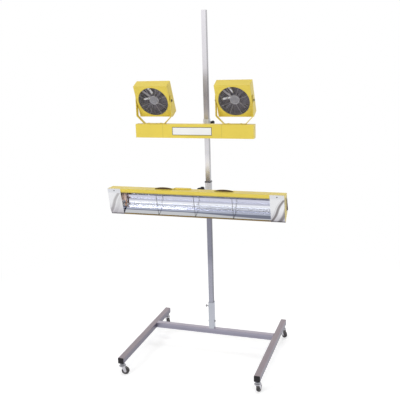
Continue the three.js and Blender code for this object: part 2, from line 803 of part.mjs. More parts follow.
// A ceramic block under the reflector's upper facet, and a sheet clip at its inner end that holds the tube
function lampHolder(side) {
  const below = moved(reflectorPath, -seat);
  const facetShare = (holderFrontDepth - reflectorLipDepth) / (reflectorShoulderDepth - reflectorLipDepth);
  const bottom = axisDrop - holderBottomDrop;
  const bodyOutline = [
    below[0].clone().lerp(below[1], facetShare),
    below[1],
    vec(holderBackDepth - axisDepth, below[2].y),
    vec(holderBackDepth - axisDepth, bottom),
    vec(holderFrontDepth - axisDepth, bottom),
  ];
  const start = lampOffset + side * (headEnd - holderSetback) - (side < 0 ? holderLength : 0);
  const body = carriedX(bodyOutline, [start, start + holderLength]);
  const clipInner = lampTubeRadius + seat;
  const clipStart = side < 0 ? start + holderLength - clipWidth : start;
  const clip = [clipStart, clipStart + clipWidth];
  const ring = rod("x", clip, clipInner + clipSheet, fineSides, lampAxis.x, lampAxis.y);
  const stemTop = bottom + overrun;
  const stem = block(clip, centred(clipStemDepth), [lampAxis.y, stemTop]).translate(0, lampAxis.x, 0);
  const opened = [clipStart - overrun, clipStart + clipWidth + overrun];
  const hole = rod("x", opened, clipInner, fineSides, lampAxis.x, lampAxis.y);
  return join(body, cut(join(ring, stem), hole));
}
piece(head, "lamp_holder_left", lampHolder(-1), ceramic);
piece(head, "lamp_holder_right", lampHolder(1), ceramic);

// End caps: three flat facets that start flush with the front edge and slant back towards the trough
function facetedSheet(points, facets, back) {
  const count = points.length;
  const outline = boundary(facets);
  const position = [...points, ...points.map((p) => p.clone().add(back))].flatMap((p) => p.toArray());
  const index = [
    ...facets.flat(),
    ...facets.flatMap(([a, b, c]) => [a + count, c + count, b + count]),
    ...outline.flatMap(([a, b]) => [b, a, a + count, b, a + count, b + count]),
  ];
  const geometry = new THREE.BufferGeometry();
  geometry.setAttribute("position", new THREE.BufferAttribute(new Float32Array(position), 3));
  geometry.setIndex(index);
  return geometry;
}

// The edges that belong to one facet only
function boundary(facets) {
  const edges = facets.flatMap(([a, b, c]) => [[a, b], [b, c], [c, a]]);
  return edges.filter(([a, b]) => !edges.some(([c, d]) => a === d && b === c));
}

function lampEndCap(side) {
  const outer = side * (headEnd - capEndGap);
  const inner = side * capInner;
  const forward = capSheet + seat;
  const at = (x, point) => new THREE.Vector3(x, point.x - forward, point.y);
  const points = [
    at(outer, frontTop), at(outer, lip), at(outer, chin), at(outer, keel),
    at(inner, frontTop), at(inner, lip), at(inner, keel),
  ];
  const facing = [[0, 1, 5], [0, 5, 4], [1, 2, 5], [2, 6, 5], [2, 3, 6]];
  const facets = side < 0 ? facing : facing.map(([a, b, c]) => [a, c, b]);
  const sheet = facetedSheet(points, facets, new THREE.Vector3(0, capSheet, 0));
  const edgeAt = (drop) => {
    const share = (drop - lipDrop) / (keelDrop - lipDrop);
    const point = lip.clone().lerp(keel, share);
    return vec(point.x - forward + capSheet / 2, point.y);
  };
  const upper = edgeAt(capFlangeTopDrop);
  const lower = edgeAt(capFlangeBottomDrop);
  const backward = vec(capFlangeDepth, 0);
  const flangeOutline = [upper, lower, lower.clone().add(backward), upper.clone().add(backward)];
  const flangeSpan = [inner, inner + side * capSheet].sort((a, b) => a - b);
  const screwZ = (frontTop.y + lip.y) / 2;
  const screwY = (frontTop.x + lip.x) / 2 - forward;
  const screwX = (outer + inner) / 2;
  const screwSpan = [screwY - capScrewHead, screwY + capSheet / 2];
  const screw = rod("y", screwSpan, capScrewRadius, plainSides, screwX, screwZ);
  return join(sheet, carriedX(flangeOutline, flangeSpan), screw);
}
piece(head, "lamp_end_cap_left", lampEndCap(-1), polished);
piece(head, "lamp_end_cap_right", lampEndCap(1), polished);

// Guard wires: straight rods over the mouth, from the lip down to the hem
function mouthWire() {
  const hemEnd = keel.clone().addScaledVector(chin.clone().sub(keel).normalize(), hemHeight);
  const way = hemEnd.clone().sub(lip);
  const length = way.length() - 2 * (seat + guardWireRadius);
  const middle = lip.clone().lerp(hemEnd, 1 / 2);
  const wire = rod("z", centred(length), guardWireRadius, hexSides);
  wire.rotateX(Math.atan2(way.y, way.x) + Math.PI / 2);
  return wire.translate(0, middle.x + guardWireRadius, middle.y);
}
["left", "middle", "right"].forEach((name, i) => {
  const x = guardWireShift + (i - 1) * guardWireSpacing;
  piece(head, "guard_wire_" + name, mouthWire().translate(x, 0, 0), steel);
});

// Fan carriage
const fanCarriage = group(upright, 0, 0, fanHeight);
const fanSleeveBottom = barHeight / 2 - fanSleeveLength;
const fanSlide = group(fanCarriage, postShift);
piece(fanSlide, "fan_sleeve", sleeve(fanSleeveBottom, fanSleeveLength, 1, fanKnobRise), zinc);
const fanKnobSize = [fanKnobThickness, fanKnobTaper];
const fanKnob = lobedKnob(fanKnobRadius, fanKnobSize, [knobTip, bossFace + fanKnobReach], fanKnobReach);
piece(fanSlide, "fan_lock_knob", fanKnob.translate(0, 0, fanKnobRise), blackPlastic);

const flangeFront = barReach - barSheet - seat;
const fanArm = join(
  armTube(flangeFront - flangeThickness / 2),
  block(centred(flangeWidth), [-flangeFront, -flangeFront + flangeThickness], centred(flangeHeight)),
);
piece(fanSlide, "fan_arm", fanArm, zinc);

function fanBar() {
  const half = barHeight / 2;
  const back = -barReach + barDepth;
  const path = [vec(back, -half), vec(-barReach, -half), vec(-barReach, half), vec(back, half)];
  const ends = [[-barLength / 2, -barLength / 2 + barSheet], [barLength / 2 - barSheet, barLength / 2]];
  const shell = carriedX(bentSheet(path, -barSheet), centred(barLength - barSheet));
  return join(shell, ...ends.map((span) => carriedX(path, span)));
}
piece(fanCarriage, "fan_bar", fanBar(), yellow);

const plateBack = -barReach - seat;
const plateX = [plateOffset - plateWidth / 2, plateOffset + plateWidth / 2];
piece(
  fanCarriage,
  "name_plate",
  block(plateX, [plateBack - plateThickness, plateBack], centred(plateHeight)),
  whitePlate,
);

// Fans
const barMiddle = -barReach + barDepth / 2;
const fanBack = fanDepth - fanFaceReach;
const pivotHoleRadius = pivotRadius + pinGap;

function yoke() {
  const half = yokeWidth / 2;
  const footDrop = fanRise - barHeight / 2 - seat;
  const footHalf = half - (footDrop - yokeDrop);
  const path = [
    vec(half, yokeRise),
    vec(half, -yokeDrop),
    vec(footHalf, -footDrop),
    vec(-footHalf, -footDrop),
    vec(-half, -yokeDrop),
    vec(-half, yokeRise),
  ];
  const strap = carriedY(bentSheet(path, -yokeSheet), centred(yokeStrap));
  const rivets = [-1, 1].map((side) => {
    const x = (side * yokeRivetSpread) / 2;
    const span = [-footDrop + yokeSheet / 2, -footDrop + yokeSheet + yokeRivetHead];
    return rod("z", span, yokeRivetRadius, plainSides, x, 0);
  });
  return cut(join(strap, ...rivets), rod("x", centred(yokeWidth + 2 * overrun), pivotHoleRadius));
}

// A square box with a round mouth in front and a stamped grille of ring slots behind
function fanShroud() {
  const halfX = fanWidth / 2;
  const halfZ = fanBoxHeight / 2;
  const outside = block([-halfX, halfX], [-fanFaceReach, fanBack], [-halfZ, halfZ]);
  const inside = block(
    [-halfX + fanSheet, halfX - fanSheet],
    [-fanFaceReach + fanSheet, fanBack - fanSheet],
    [-halfZ + fanSheet, halfZ - fanSheet],
  );
  const mouthSpan = [-fanFaceReach - overrun, -fanFaceReach + fanSheet + overrun];
  const mouth = rod("y", mouthSpan, mouthRadius, wideSides);
  const pivots = rod("x", centred(fanWidth + 2 * overrun), pivotHoleRadius);
  return cut(outside, inside, mouth, pivots, ...grilleSlots());
}

function grilleSlots() {
  const pitch = (grilleRadius - grilleHubRadius) / grilleRings;
  const sectorStep = 360 / grilleSectors;
  const arcSteps = 4;
  const rings = Array.from({ length: grilleRings }, (_, ring) => grilleHubRadius + ring * pitch + grilleBar);
  return rings.flatMap((inner) => {
    const outer = inner + pitch - grilleBar;
    const gapAt = (radius) => THREE.MathUtils.radToDeg(grilleBar / 2 / radius);
    return Array.from({ length: grilleSectors }, (_, sector) => {
      const from = sector * sectorStep;
      const to = from + sectorStep;
      const outline = [
        ...arc(vec(0, 0), inner, from + gapAt(inner), to - gapAt(inner), arcSteps),
        ...arc(vec(0, 0), outer, to - gapAt(outer), from + gapAt(outer), arcSteps),
      ];
      return carriedY(outline, [fanBack - fanSheet - overrun, fanBack + overrun]);
    });
  });
}

function fanGuard() {
  const front = -fanFaceReach + fanSheet + seat;
  const middle = front + guardWire;
  const rings = guardRingRadii.map((radius) => {
    const half = guardWire / 2;
    const square = [
      [radius - half, 0],
      [radius + half, 0],
      [radius + half, guardWire],
      [radius - half, guardWire],
      [radius - half, 0],
    ];
    return turned(square, wideSides).rotateX(-Math.PI / 2).translate(0, front, 0);
  });
  const lap = guardWire / 4;
  const reach = guardRingRadii[guardRingRadii.length - 1];
  const spokes = Array.from({ length: guardSpokes }, (_, i) => {
    const bar = block(centred(2 * reach), [middle - lap, middle - lap + guardWire], centred(guardWire));
    return bar.rotateY((i * Math.PI) / guardSpokes + Math.PI / (2 * guardSpokes));
  });
  return join(rings[0], ...spokes, ...rings.slice(1));
}

// The motor's cover, four struts to the corners of the shroud, and the spindle that the rotor turns on
function fanMotor() {
  const strutBack = motorFront + motorThickness;
  const strutSpan = [strutBack - strutThickness, strutBack];
  const insideX = fanWidth - 2 * (fanSheet + seat);
  const insideZ = fanBoxHeight - 2 * (fanSheet + seat);
  const diagonal = Math.hypot(insideX, insideZ);
  const corner = Math.atan2(insideZ, insideX);
  const struts = [corner, -corner].map((angle) =>
    block(centred(diagonal), strutSpan, centred(strutWidth)).rotateY(angle),
  );
  const room = block(centred(insideX), [motorFront, strutBack + overrun], centred(insideZ));
  return join(
    rod("y", [motorFront, strutBack], motorRadius, fineSides),
    overlap(join(...struts), room),
    rod("y", [strutBack - overrun, spindleEnd], spindleRadius),
  );
}

function fanRotor() {
  const bush = spindleRadius + pinGap;
  const hubProfile = [
    [bush, rotorFront],
    [rotorBushRadius, rotorFront],
    [rotorBushRadius, rotorBack - rotorHubWall],
    [rotorHubRadius - rotorHubWall, rotorBack - rotorHubWall],
    [rotorHubRadius - rotorHubWall, rotorFront],
    [rotorHubRadius, rotorFront],
    [rotorHubRadius, rotorBack],
    [bush, rotorBack],
    [bush, rotorFront],
  ];
  const hub = turned(hubProfile, fineSides).rotateX(-Math.PI / 2);
  const rootRadius = rotorHubRadius - rotorHubWall / 2;
  const outline = [...arc(vec(0, 0), rootRadius, -24, 24, 3), ...arc(vec(0, 0), rotorRadius, 23, -19, 5)];
  const middle = (rotorFront + rotorBack) / 2;
  const blades = Array.from({ length: bladeCount }, (_, i) => {
    const blade = carriedY(outline, centred(bladeThickness));
    blade.rotateX(THREE.MathUtils.degToRad(bladePitch)).translate(0, middle, 0);
    return blade.rotateY((i * 2 * Math.PI) / bladeCount);
  });
  return join(hub, ...blades);
}

// A bolt from inside the shroud, through a spacer, to the outside of the yoke
function pivotBolt(side) {
  const boxFace = fanWidth / 2;
  const nutInner = boxFace - fanSheet - seat - pivotNutThickness;
  const strapInner = yokeWidth / 2 - yokeSheet;
  const headInner = yokeWidth / 2 + seat;
  const bolt = join(
    rod("x", [nutInner, headInner + overrun], pivotRadius),
    rod("x", [nutInner, nutInner + pivotNutThickness], pivotHeadRadius, hexSides),
    rod("x", [boxFace + seat, strapInner - seat], pivotSpacerRadius),
    rod("x", [headInner, headInner + pivotHeadThickness], pivotHeadRadius, hexSides),
  );
  return mirrored(bolt, side);
}

for (const side of [-1, 1]) {
  const name = side < 0 ? "left" : "right";
  const place = group(fanCarriage, (side * fanSpread) / 2, barMiddle, fanRise);
  piece(place, "fan_yoke_" + name, yoke(), yellow);
  const fan = group(place);
  fan.rotation.x = THREE.MathUtils.degToRad(fanRestTilt);
  piece(fan, "fan_shroud_" + name, fanShroud(), yellow);
  piece(fan, "fan_guard_" + name, fanGuard(), fanGrey);
  piece(fan, "fan_motor_" + name, fanMotor(), hubGrey);
  piece(fan, "fan_rotor_" + name, fanRotor(), fanGrey);
  piece(fan, "fan_pivot_bolt_" + name + "_outer", pivotBolt(side), steel);
  piece(fan, "fan_pivot_bolt_" + name + "_inner", pivotBolt(-side), steel);
}

export default lamp;
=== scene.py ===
# %% [markdown]
# # An infrared paint curing lamp on a rolling stand
#
# The solid model gives the size and the place of every piece. This lesson dresses it: it gives each piece
# a finish, and it remakes the pieces whose facets would show, such as knobs, wheels, fans and end caps.
# Lengths are in metres. The lamp faces -Y, +Z is up, and the floor is at z = 0.

# %% Load the solid model
from math import atan2, cos, degrees, hypot, pi, radians, sin, sqrt
import bmesh
import bpy
from mathutils import Matrix, Vector


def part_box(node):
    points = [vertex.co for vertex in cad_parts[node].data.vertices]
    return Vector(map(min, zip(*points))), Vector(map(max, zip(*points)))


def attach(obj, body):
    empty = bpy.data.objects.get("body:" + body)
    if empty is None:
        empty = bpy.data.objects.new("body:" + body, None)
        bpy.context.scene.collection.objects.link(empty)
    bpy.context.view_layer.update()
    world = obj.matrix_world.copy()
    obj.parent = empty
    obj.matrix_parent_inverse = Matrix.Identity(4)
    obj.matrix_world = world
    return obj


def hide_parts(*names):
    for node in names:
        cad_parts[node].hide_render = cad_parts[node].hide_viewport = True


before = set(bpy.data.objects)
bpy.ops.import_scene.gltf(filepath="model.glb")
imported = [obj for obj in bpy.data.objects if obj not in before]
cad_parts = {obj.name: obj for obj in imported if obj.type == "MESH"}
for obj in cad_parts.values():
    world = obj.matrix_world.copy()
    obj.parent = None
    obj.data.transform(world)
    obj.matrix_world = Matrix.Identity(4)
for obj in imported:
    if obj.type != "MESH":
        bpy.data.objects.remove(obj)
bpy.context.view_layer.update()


# %% [markdown]
# ## The camera
#
# A camera can be placed by eye, but here its place was solved from the straight edges of the photograph.
# Three angles turn it: yaw about the upright, pitch below the horizon, and a slight roll. They are turned
# into three directions, and those make the columns of its matrix.

# %% Camera
move = Matrix.Translation


def turn(angle, axis):
    return Matrix.Rotation(angle, 4, axis)


def add_object(name, data):
    """Puts a mesh, a camera or a lamp into the scene."""
    thing = bpy.data.objects.new(name, data)
    bpy.context.scene.collection.objects.link(thing)
    return thing


camera_place = Vector((1.2321, -3.7575, 1.9983))
yaw, pitch, roll = (radians(a) for a in (18.43, 13.03, -1.7))
ahead = Vector((-sin(yaw) * cos(pitch), cos(yaw) * cos(pitch), -sin(pitch)))
level_right = Vector((cos(yaw), sin(yaw), 0))
level_up = level_right.cross(ahead)
right = level_right * cos(roll) + level_up * sin(roll)
up = level_up * cos(roll) - level_right * sin(roll)

lens = bpy.data.cameras.new("studio_camera")
lens.sensor_width = 36
lens.lens = 56.5155
camera = add_object("studio_camera", lens)
camera.matrix_world = move(camera_place) @ Matrix((right, up, -ahead)).transposed().to_4x4()
bpy.context.scene.camera = camera
print("camera", round((camera_place - Vector((0, 0, 1.1))).length, 2), "m from the lamp head")

# %% [markdown]
# ## Effects that several finishes share
#
# Real finishes are never one flat colour. Each effect below is a node group with named sockets, so that
# every material can use it with its own values. Groups only pass on masks, colours and normals, and the
# shader stays in the material.

# %% Helpers for node trees
def feed(tree, socket, value):
    """Links a socket to another one, or sets it to a number, a vector or a colour."""
    if isinstance(value, bpy.types.NodeSocket):
        tree.links.new(value, socket)
    elif value is not None:
        socket.default_value = (*value, 1) if socket.type == "RGBA" else value


def effect(name, inputs, outputs):
    """A new node group, the sockets that it is given, and those that it passes on."""
    tree = bpy.data.node_groups.new(name, "ShaderNodeTree")
    for label, kind, default in inputs:
        socket = tree.interface.new_socket(name=label, in_out="INPUT", socket_type="NodeSocket" + kind)
        socket.default_value = default
    for label, kind in outputs:
        tree.interface.new_socket(name=label, in_out="OUTPUT", socket_type="NodeSocket" + kind)
    return tree, tree.nodes.new("NodeGroupInput").outputs, tree.nodes.new("NodeGroupOutput").inputs


def math_node(tree, operation, first, second=None, clamp=False):
    node = tree.nodes.new("ShaderNodeMath")
    node.operation = operation
    node.use_clamp = clamp
    feed(tree, node.inputs[0], first)
    feed(tree, node.inputs[1], second)
    return node.outputs[0]


def vector_node(tree, operation, first, second=None):
    node = tree.nodes.new("ShaderNodeVectorMath")
    node.operation = operation
    feed(tree, node.inputs[0], first)
    feed(tree, node.inputs["Scale"] if operation == "SCALE" else node.inputs[1], second)
    return node.outputs["Value" if operation in ("DOT_PRODUCT", "LENGTH") else "Vector"]


def noise_node(tree, coordinate, scale, detail=3.0):
    node = tree.nodes.new("ShaderNodeTexNoise")
    for label, value in (("Vector", coordinate), ("Scale", scale), ("Detail", detail)):
        feed(tree, node.inputs[label], value)
    return node.outputs["Fac"]


def between(tree, value, start, end, low=0.0, high=1.0, curve="SMOOTHSTEP"):
    """Goes from `low` to `high` while a value goes from `start` to `end`."""
    node = tree.nodes.new("ShaderNodeMapRange")
    node.interpolation_type = curve
    limits = (("From Min", start), ("From Max", end), ("To Min", low), ("To Max", high))
    for label, setting in (("Value", value), *limits):
        feed(tree, node.inputs[label], setting)
    return node.outputs["Result"]


def object_place(tree):
    return tree.nodes.new("ShaderNodeTexCoord").outputs["Object"]


def face_normal(tree):
    return tree.nodes.new("ShaderNodeNewGeometry").outputs["Normal"]


def split(tree, vector):
    """The X, Y and Z of a vector, as three sockets."""
    node = tree.nodes.new("ShaderNodeSeparateXYZ")
    feed(tree, node.inputs[0], vector)
    return node.outputs


def bumped(tree, height, strength, normal=None):
    node = tree.nodes.new("ShaderNodeBump")
    for label, value in (("Height", height), ("Strength", strength), ("Distance", 0.001), ("Normal", normal)):
        feed(tree, node.inputs[label], value)
    return node.outputs["Normal"]


print("helpers for node trees are ready")

# %% [markdown]
# Grain is a fine noise, stretched along the way the metal was drawn. A stretch of 1 on each axis gives the
# even grain of moulded plastic, and a small number on one axis draws the grain out along it.

# %% Grain
grain, given, result = effect("Grain", [("Scale", "Float", 200.0), ("Stretch", "Vector", (1.0, 1.0, 1.0))],
                              [("Grain", "Float")])
drawn = vector_node(grain, "MULTIPLY", object_place(grain), given["Stretch"])
feed(grain, result["Grain"], noise_node(grain, drawn, given["Scale"], 4.0))
print("group", grain.name)

# %% [markdown]
# Edge wear comes from comparing two normals. The Bevel node gives the normal that a rounded edge would
# have, so it differs from the true normal only close to an edge. The same node also lets sharp solid
# edges catch the light as folded sheet does, so the group passes that soft normal on too.

# %% Edges
edges, given, result = effect("Edges", [("Radius", "Float", 0.001), ("Wear", "Float", 0.5)],
                              [("Worn", "Float"), ("Normal", "Vector")])
rounded = edges.nodes.new("ShaderNodeBevel")
rounded.samples = 4
feed(edges, rounded.inputs["Radius"], given["Radius"])
alike = vector_node(edges, "DOT_PRODUCT", rounded.outputs["Normal"], face_normal(edges))
near_edge = math_node(edges, "MULTIPLY", math_node(edges, "SUBTRACT", 1.0, alike), 5.0, True)
patchy = math_node(edges, "MULTIPLY", noise_node(edges, object_place(edges), 90.0), near_edge)
feed(edges, result["Worn"], math_node(edges, "MULTIPLY", patchy, given["Wear"], True))
feed(edges, result["Normal"], rounded.outputs["Normal"])
print("group", edges.name)

# %% [markdown]
# Dust settles on what faces up, in uneven patches. Mottle is a broad, faint change of shade, as in a
# sprayed coat.

# %% Dust and mottle
dust, given, result = effect("Dust", [("Amount", "Float", 0.2), ("Scale", "Float", 12.0)],
                             [("Dust", "Float")])
patches = noise_node(dust, object_place(dust), given["Scale"])
level = math_node(dust, "MULTIPLY", split(dust, face_normal(dust))["Z"], patches, True)
feed(dust, result["Dust"], math_node(dust, "MULTIPLY", level, given["Amount"], True))

mottle, given, result = effect("Mottle", [("Scale", "Float", 9.0), ("Amount", "Float", 0.1)],
                               [("Shade", "Float")])
swing = math_node(mottle, "SUBTRACT", noise_node(mottle, object_place(mottle), given["Scale"], 2.0), 0.5)
change = math_node(mottle, "MULTIPLY", swing, given["Amount"])
feed(mottle, result["Shade"], math_node(mottle, "ADD", change, 1.0))
print("groups", dust.name, "and", mottle.name)

# %% [markdown]
# ## One recipe for a finish
#
# All the opaque finishes are built alike: a base colour whose shade wanders a little, worn to a second
# colour at the edges and greyed by dust, with grain in the roughness and in a fine bump. Only the numbers
# differ, so one function makes them all.

# %% The recipe
dust_rgb = (0.55, 0.53, 0.5)


def use(tree, group, **values):
    """Puts a group into a tree and gives the sockets that it passes on."""
    node = tree.nodes.new("ShaderNodeGroup")
    node.node_tree = group
    for label, value in values.items():
        feed(tree, node.inputs[label], value)
    return node.outputs


def blended(tree, factor, first, second):
    node = tree.nodes.new("ShaderNodeMix")
    node.data_type = "RGBA"
    for index, value in ((0, factor), (6, first), (7, second)):
        feed(tree, node.inputs[index], value)
    return node.outputs[2]


def new_material(name):
    """A material, its node tree and the sockets of its shader."""
    material = bpy.data.materials.new(name)
    material.use_nodes = True
    return material, material.node_tree, material.node_tree.nodes["Principled BSDF"].inputs


def finish(name, colour, roughness, metallic=0.0, worn=None, wear=0.4, edge=0.0012, dusty=0.1, shade=0.12,
           grain_scale=400.0, stretch=(1.0, 1.0, 1.0), grain_depth=0.05, grain_rough=0.12, **sockets):
    material, tree, shader = new_material(name)
    shader["Metallic"].default_value = metallic
    for label, value in sockets.items():
        shader[label.replace("_", " ")].default_value = value
    worn_edge = use(tree, edges, Radius=edge, Wear=wear)
    streaks = use(tree, grain, Scale=grain_scale, Stretch=stretch)["Grain"]
    tone = vector_node(tree, "SCALE", colour, use(tree, mottle, Amount=shade)["Shade"])
    with_wear = blended(tree, worn_edge["Worn"], tone, worn or colour)
    with_dust = blended(tree, use(tree, dust, Amount=dusty)["Dust"], with_wear, dust_rgb)
    feed(tree, shader["Base Color"], with_dust)
    swing = math_node(tree, "MULTIPLY", math_node(tree, "SUBTRACT", streaks, 0.5), grain_rough)
    feed(tree, shader["Roughness"], math_node(tree, "ADD", swing, roughness, True))
    feed(tree, shader["Normal"], bumped(tree, streaks, grain_depth, worn_edge["Normal"]))
    return material


print("recipe ready")

# %% [markdown]
# Some finishes change over a piece, mostly to paint light and shade into them. Each function below takes the
# base colour that a finish has so far and puts a changed one in its place: by height, by the way a face
# looks, or in a band or a streak.

# %% Changes over a piece
def coat_of(material):
    """A finish's node tree, its base colour socket, and what feeds that socket so far."""
    tree = material.node_tree
    base = tree.nodes["Principled BSDF"].inputs["Base Color"]
    return tree, base, base.links[0].from_socket


def shaded_by_height(material, stops, above=0.0):
    """Multiplies the base colour by (height, colour) stops, whose heights count from `above`."""
    tree, base, colour = coat_of(material)
    low, high = above + stops[0][0], above + stops[-1][0]
    from_low = math_node(tree, "SUBTRACT", split(tree, object_place(tree))["Z"], low)
    ramp = tree.nodes.new("ShaderNodeValToRGB")
    elements = ramp.color_ramp.elements
    while len(elements) < len(stops):
        elements.new(0.5)
    for element, (height, _) in zip(elements, stops):
        element.position = (above + height - low) / (high - low)
    for element, (_, tint) in zip(elements, stops):
        element.color = (*tint, 1)
    feed(tree, ramp.inputs[0], math_node(tree, "DIVIDE", from_low, high - low, True))
    feed(tree, base, vector_node(tree, "MULTIPLY", colour, ramp.outputs["Color"]))


def painted_side_shade(material, share):
    """Dims the faces that look towards +X and +Y with painted shade, for a room that is darker on those
    sides.
    """
    tree, base, colour = coat_of(material)
    facing = split(tree, face_normal(tree))
    away = math_node(tree, "MAXIMUM", facing["X"], facing["Y"])
    feed(tree, base, vector_node(tree, "SCALE", colour, between(tree, away, 0.3, 0.8, 1.0, share)))


def dark_wedge(material, top, foot, far_foot, near_x, far_x, dark):
    """Darkens a band below `top` whose foot falls from `foot` to `far_foot` between two places in X."""
    tree, base, colour = coat_of(material)
    place = split(tree, object_place(tree))
    lower_edge = between(tree, place["X"], near_x, far_x, foot, far_foot)
    over = between(tree, math_node(tree, "SUBTRACT", place["Z"], lower_edge), 0.0, 0.003)
    under = between(tree, place["Z"], top, top + 0.002, 1.0, 0.0)
    feed(tree, base, blended(tree, math_node(tree, "MULTIPLY", over, under), colour, dark))


def slanting_streaks(material, slant, sway, wave_height, streaks, top, dark):
    """Darkens bands below `top` that lean by `slant` in X per metre of height and sway like a flat S."""
    tree, base, colour = coat_of(material)
    place = split(tree, object_place(tree))
    wave = math_node(tree, "SINE", math_node(tree, "MULTIPLY", place["Z"], 2 * pi / wave_height))
    leaning = math_node(tree, "SUBTRACT", place["X"], math_node(tree, "MULTIPLY", place["Z"], slant))
    across = math_node(tree, "ADD", leaning, math_node(tree, "MULTIPLY", wave, sway))
    total = 0.0
    for centre, half_width, depth in streaks:
        off = math_node(tree, "ABSOLUTE", math_node(tree, "SUBTRACT", across, centre))
        streak = between(tree, off, half_width * 0.25, half_width, depth, 0.0)
        total = math_node(tree, "MAXIMUM", streak, total)
    under = between(tree, place["Z"], top, top + 0.008, 1.0, 0.0)
    feed(tree, base, blended(tree, math_node(tree, "MULTIPLY", total, under), colour, dark))


def seams_across(material, places, half_width, depth, dark):
    """Draws thin upright lines at some places in X."""
    tree, base, colour = coat_of(material)
    across = split(tree, object_place(tree))["X"]
    seams = [math_node(tree, "COMPARE", across, x) for x in places]
    for seam in seams:
        seam.node.inputs[2].default_value = half_width
    both = math_node(tree, "MULTIPLY", math_node(tree, "MAXIMUM", *seams), depth)
    feed(tree, base, blended(tree, both, colour, dark))


print("changes over a piece are ready")

# %% [markdown]
# ## The metals
#
# The stand is zinc plated square tube: bright but satin, a little blue, with streaks along its length.
# The reflector and the two end caps are polished aluminium, which is nearly a mirror. A polished metal has
# no colour of its own to speak of, so most of what it shows comes from the room. The bands and streaks on
# it stand in for the reflections of a real room.

# %% Metals
# The crossbar and rails are the same zinc as the post; their dark base colour is painted shade for the darker
# room that they reflect.
painted_shade_zinc_rgb = (0.3, 0.285, 0.315)
along_x, along_y, along_z = (0.03, 1.0, 1.0), (1.0, 0.03, 1.0), (1.0, 1.0, 0.03)
metal = dict(metallic=1.0, worn=(0.75, 0.75, 0.8), dusty=0.15, grain_scale=900.0, grain_rough=0.3)
sleeve_metal = dict(metal, metallic=0.3)
polished = dict(metallic=1.0, dusty=0.03, wear=0.2, grain_scale=1200.0)
zinc_upright = finish("zinc_upright", (0.76, 0.75, 0.78), 0.3, stretch=along_z, **metal)
zinc_sleeve = finish("zinc_sleeve", (0.86, 0.87, 0.93), 0.34, stretch=along_z, **sleeve_metal)
zinc_socket = finish("zinc_socket", (0.52, 0.54, 0.6), 0.34, stretch=along_z, **metal)
zinc_across = finish("zinc_across", painted_shade_zinc_rgb, 0.36, stretch=along_x, **metal)
zinc_lengthwise = finish("zinc_lengthwise", painted_shade_zinc_rgb, 0.36, stretch=along_y, **metal)
zinc_arm = finish("zinc_arm", (0.58, 0.57, 0.62), 0.36, stretch=along_y, **metal)
zinc_pressed = finish("zinc_pressed", (0.6, 0.59, 0.63), 0.3, **metal)
fastener = finish("fastener", (0.5, 0.5, 0.53), 0.28, **metal)
dark_fastener = finish("dark_fastener", (0.09, 0.085, 0.09), 0.42, 0.8, worn=(0.3, 0.3, 0.32))
mirror = finish("mirror_sheet", (0.93, 0.95, 0.99), 0.13, shade=0.05, stretch=along_x, grain_depth=0.008,
                grain_rough=0.08, **polished)
cap_metal = finish("cap_metal", (0.86, 0.86, 0.88), 0.17, shade=0.06, stretch=along_z, grain_depth=0.015,
                   **polished)
end_sheet = finish("end_sheet", (0.85, 0.85, 0.88), 0.45, 0.6, dusty=0.03, shade=0.1)
copper = finish("copper_strap", (0.62, 0.36, 0.24), 0.4, 0.7, worn=(0.75, 0.5, 0.35), shade=0.5)
filament = finish("filament", (0.3, 0.29, 0.3), 0.5, 0.5, shade=0.1)

# Painted shade darkens the post below the lamp head and beside the fans, and painted reflections brighten it
# above the lamp and towards its top.
shaded_by_height(zinc_upright, [
    (0.12, (0.55, 0.57, 0.64)), (0.57, (0.5, 0.51, 0.58)), (0.66, (0.36, 0.37, 0.44)),
    (1.02, (0.33, 0.33, 0.39)), (1.1, (1.1, 1.1, 1.12)), (1.3, (1.2, 1.2, 1.2)), (1.36, (0.97, 0.97, 0.98)),
    (1.6, (0.84, 0.83, 0.85)), (1.66, (0.55, 0.53, 0.56)), (1.74, (0.44, 0.425, 0.44)),
    (1.83, (0.6, 0.59, 0.6)), (1.92, (0.98, 0.97, 0.98)), (2.28, (1.15, 1.14, 1.15))])
# Painted shade on the faces of the post and the sleeves that look towards +X and +Y.
painted_side_shade(zinc_upright, 0.52)
painted_side_shade(zinc_sleeve, 0.62)
# Painted light on the base tubes: their tops get a painted highlight, and the crossbar's sides get a bluer
# painted reflection than the rails' sides.
shaded_by_height(zinc_across, [
    (-0.036, (1.1, 1.12, 1.25)), (-0.02, (1.0, 1.02, 1.15)), (-0.012, (1.2, 1.22, 1.35)),
    (-0.003, (1.25, 1.25, 1.4)), (-0.0007, (2.1, 2.05, 2.15))], above=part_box("crossbar")[1].z)
shaded_by_height(zinc_lengthwise, [
    (-0.036, (0.6, 0.61, 0.72)), (-0.018, (0.7, 0.69, 0.78)), (-0.003, (0.85, 0.81, 0.86)),
    (-0.0007, (1.55, 1.4, 1.4))], above=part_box("left_rail")[1].z)
# Long bands of painted reflection follow the folds of the mirror, for the parts of a room that its facets
# show, and a band of painted shadow lies under the front lip.
bright, lilac, blue, white = (1, 1, 1), (0.7, 0.7, 0.8), (0.78, 0.83, 0.97), (0.93, 0.93, 0.96)
shaded_by_height(mirror, [
    (1.0173, bright), (1.034, bright), (1.0435, blue), (1.0545, lilac), (1.0575, (0.52, 0.54, 0.7)),
    (1.0625, (0.6, 0.62, 0.78)), (1.066, white), (1.097, white), (1.1, (0.56, 0.56, 0.64)),
    (1.107, (0.6, 0.6, 0.68)), (1.1105, lilac), (1.133, lilac), (1.137, (0.3, 0.29, 0.34)),
    (1.1425, (0.45, 0.43, 0.33))])
# A dark wedge below the tube, thin at the left and thick at the right, is painted dark reflection and shade.
dark_wedge(mirror, 1.041, 1.0355, 1.0215, -0.1, 0.47, (0.3, 0.32, 0.42))
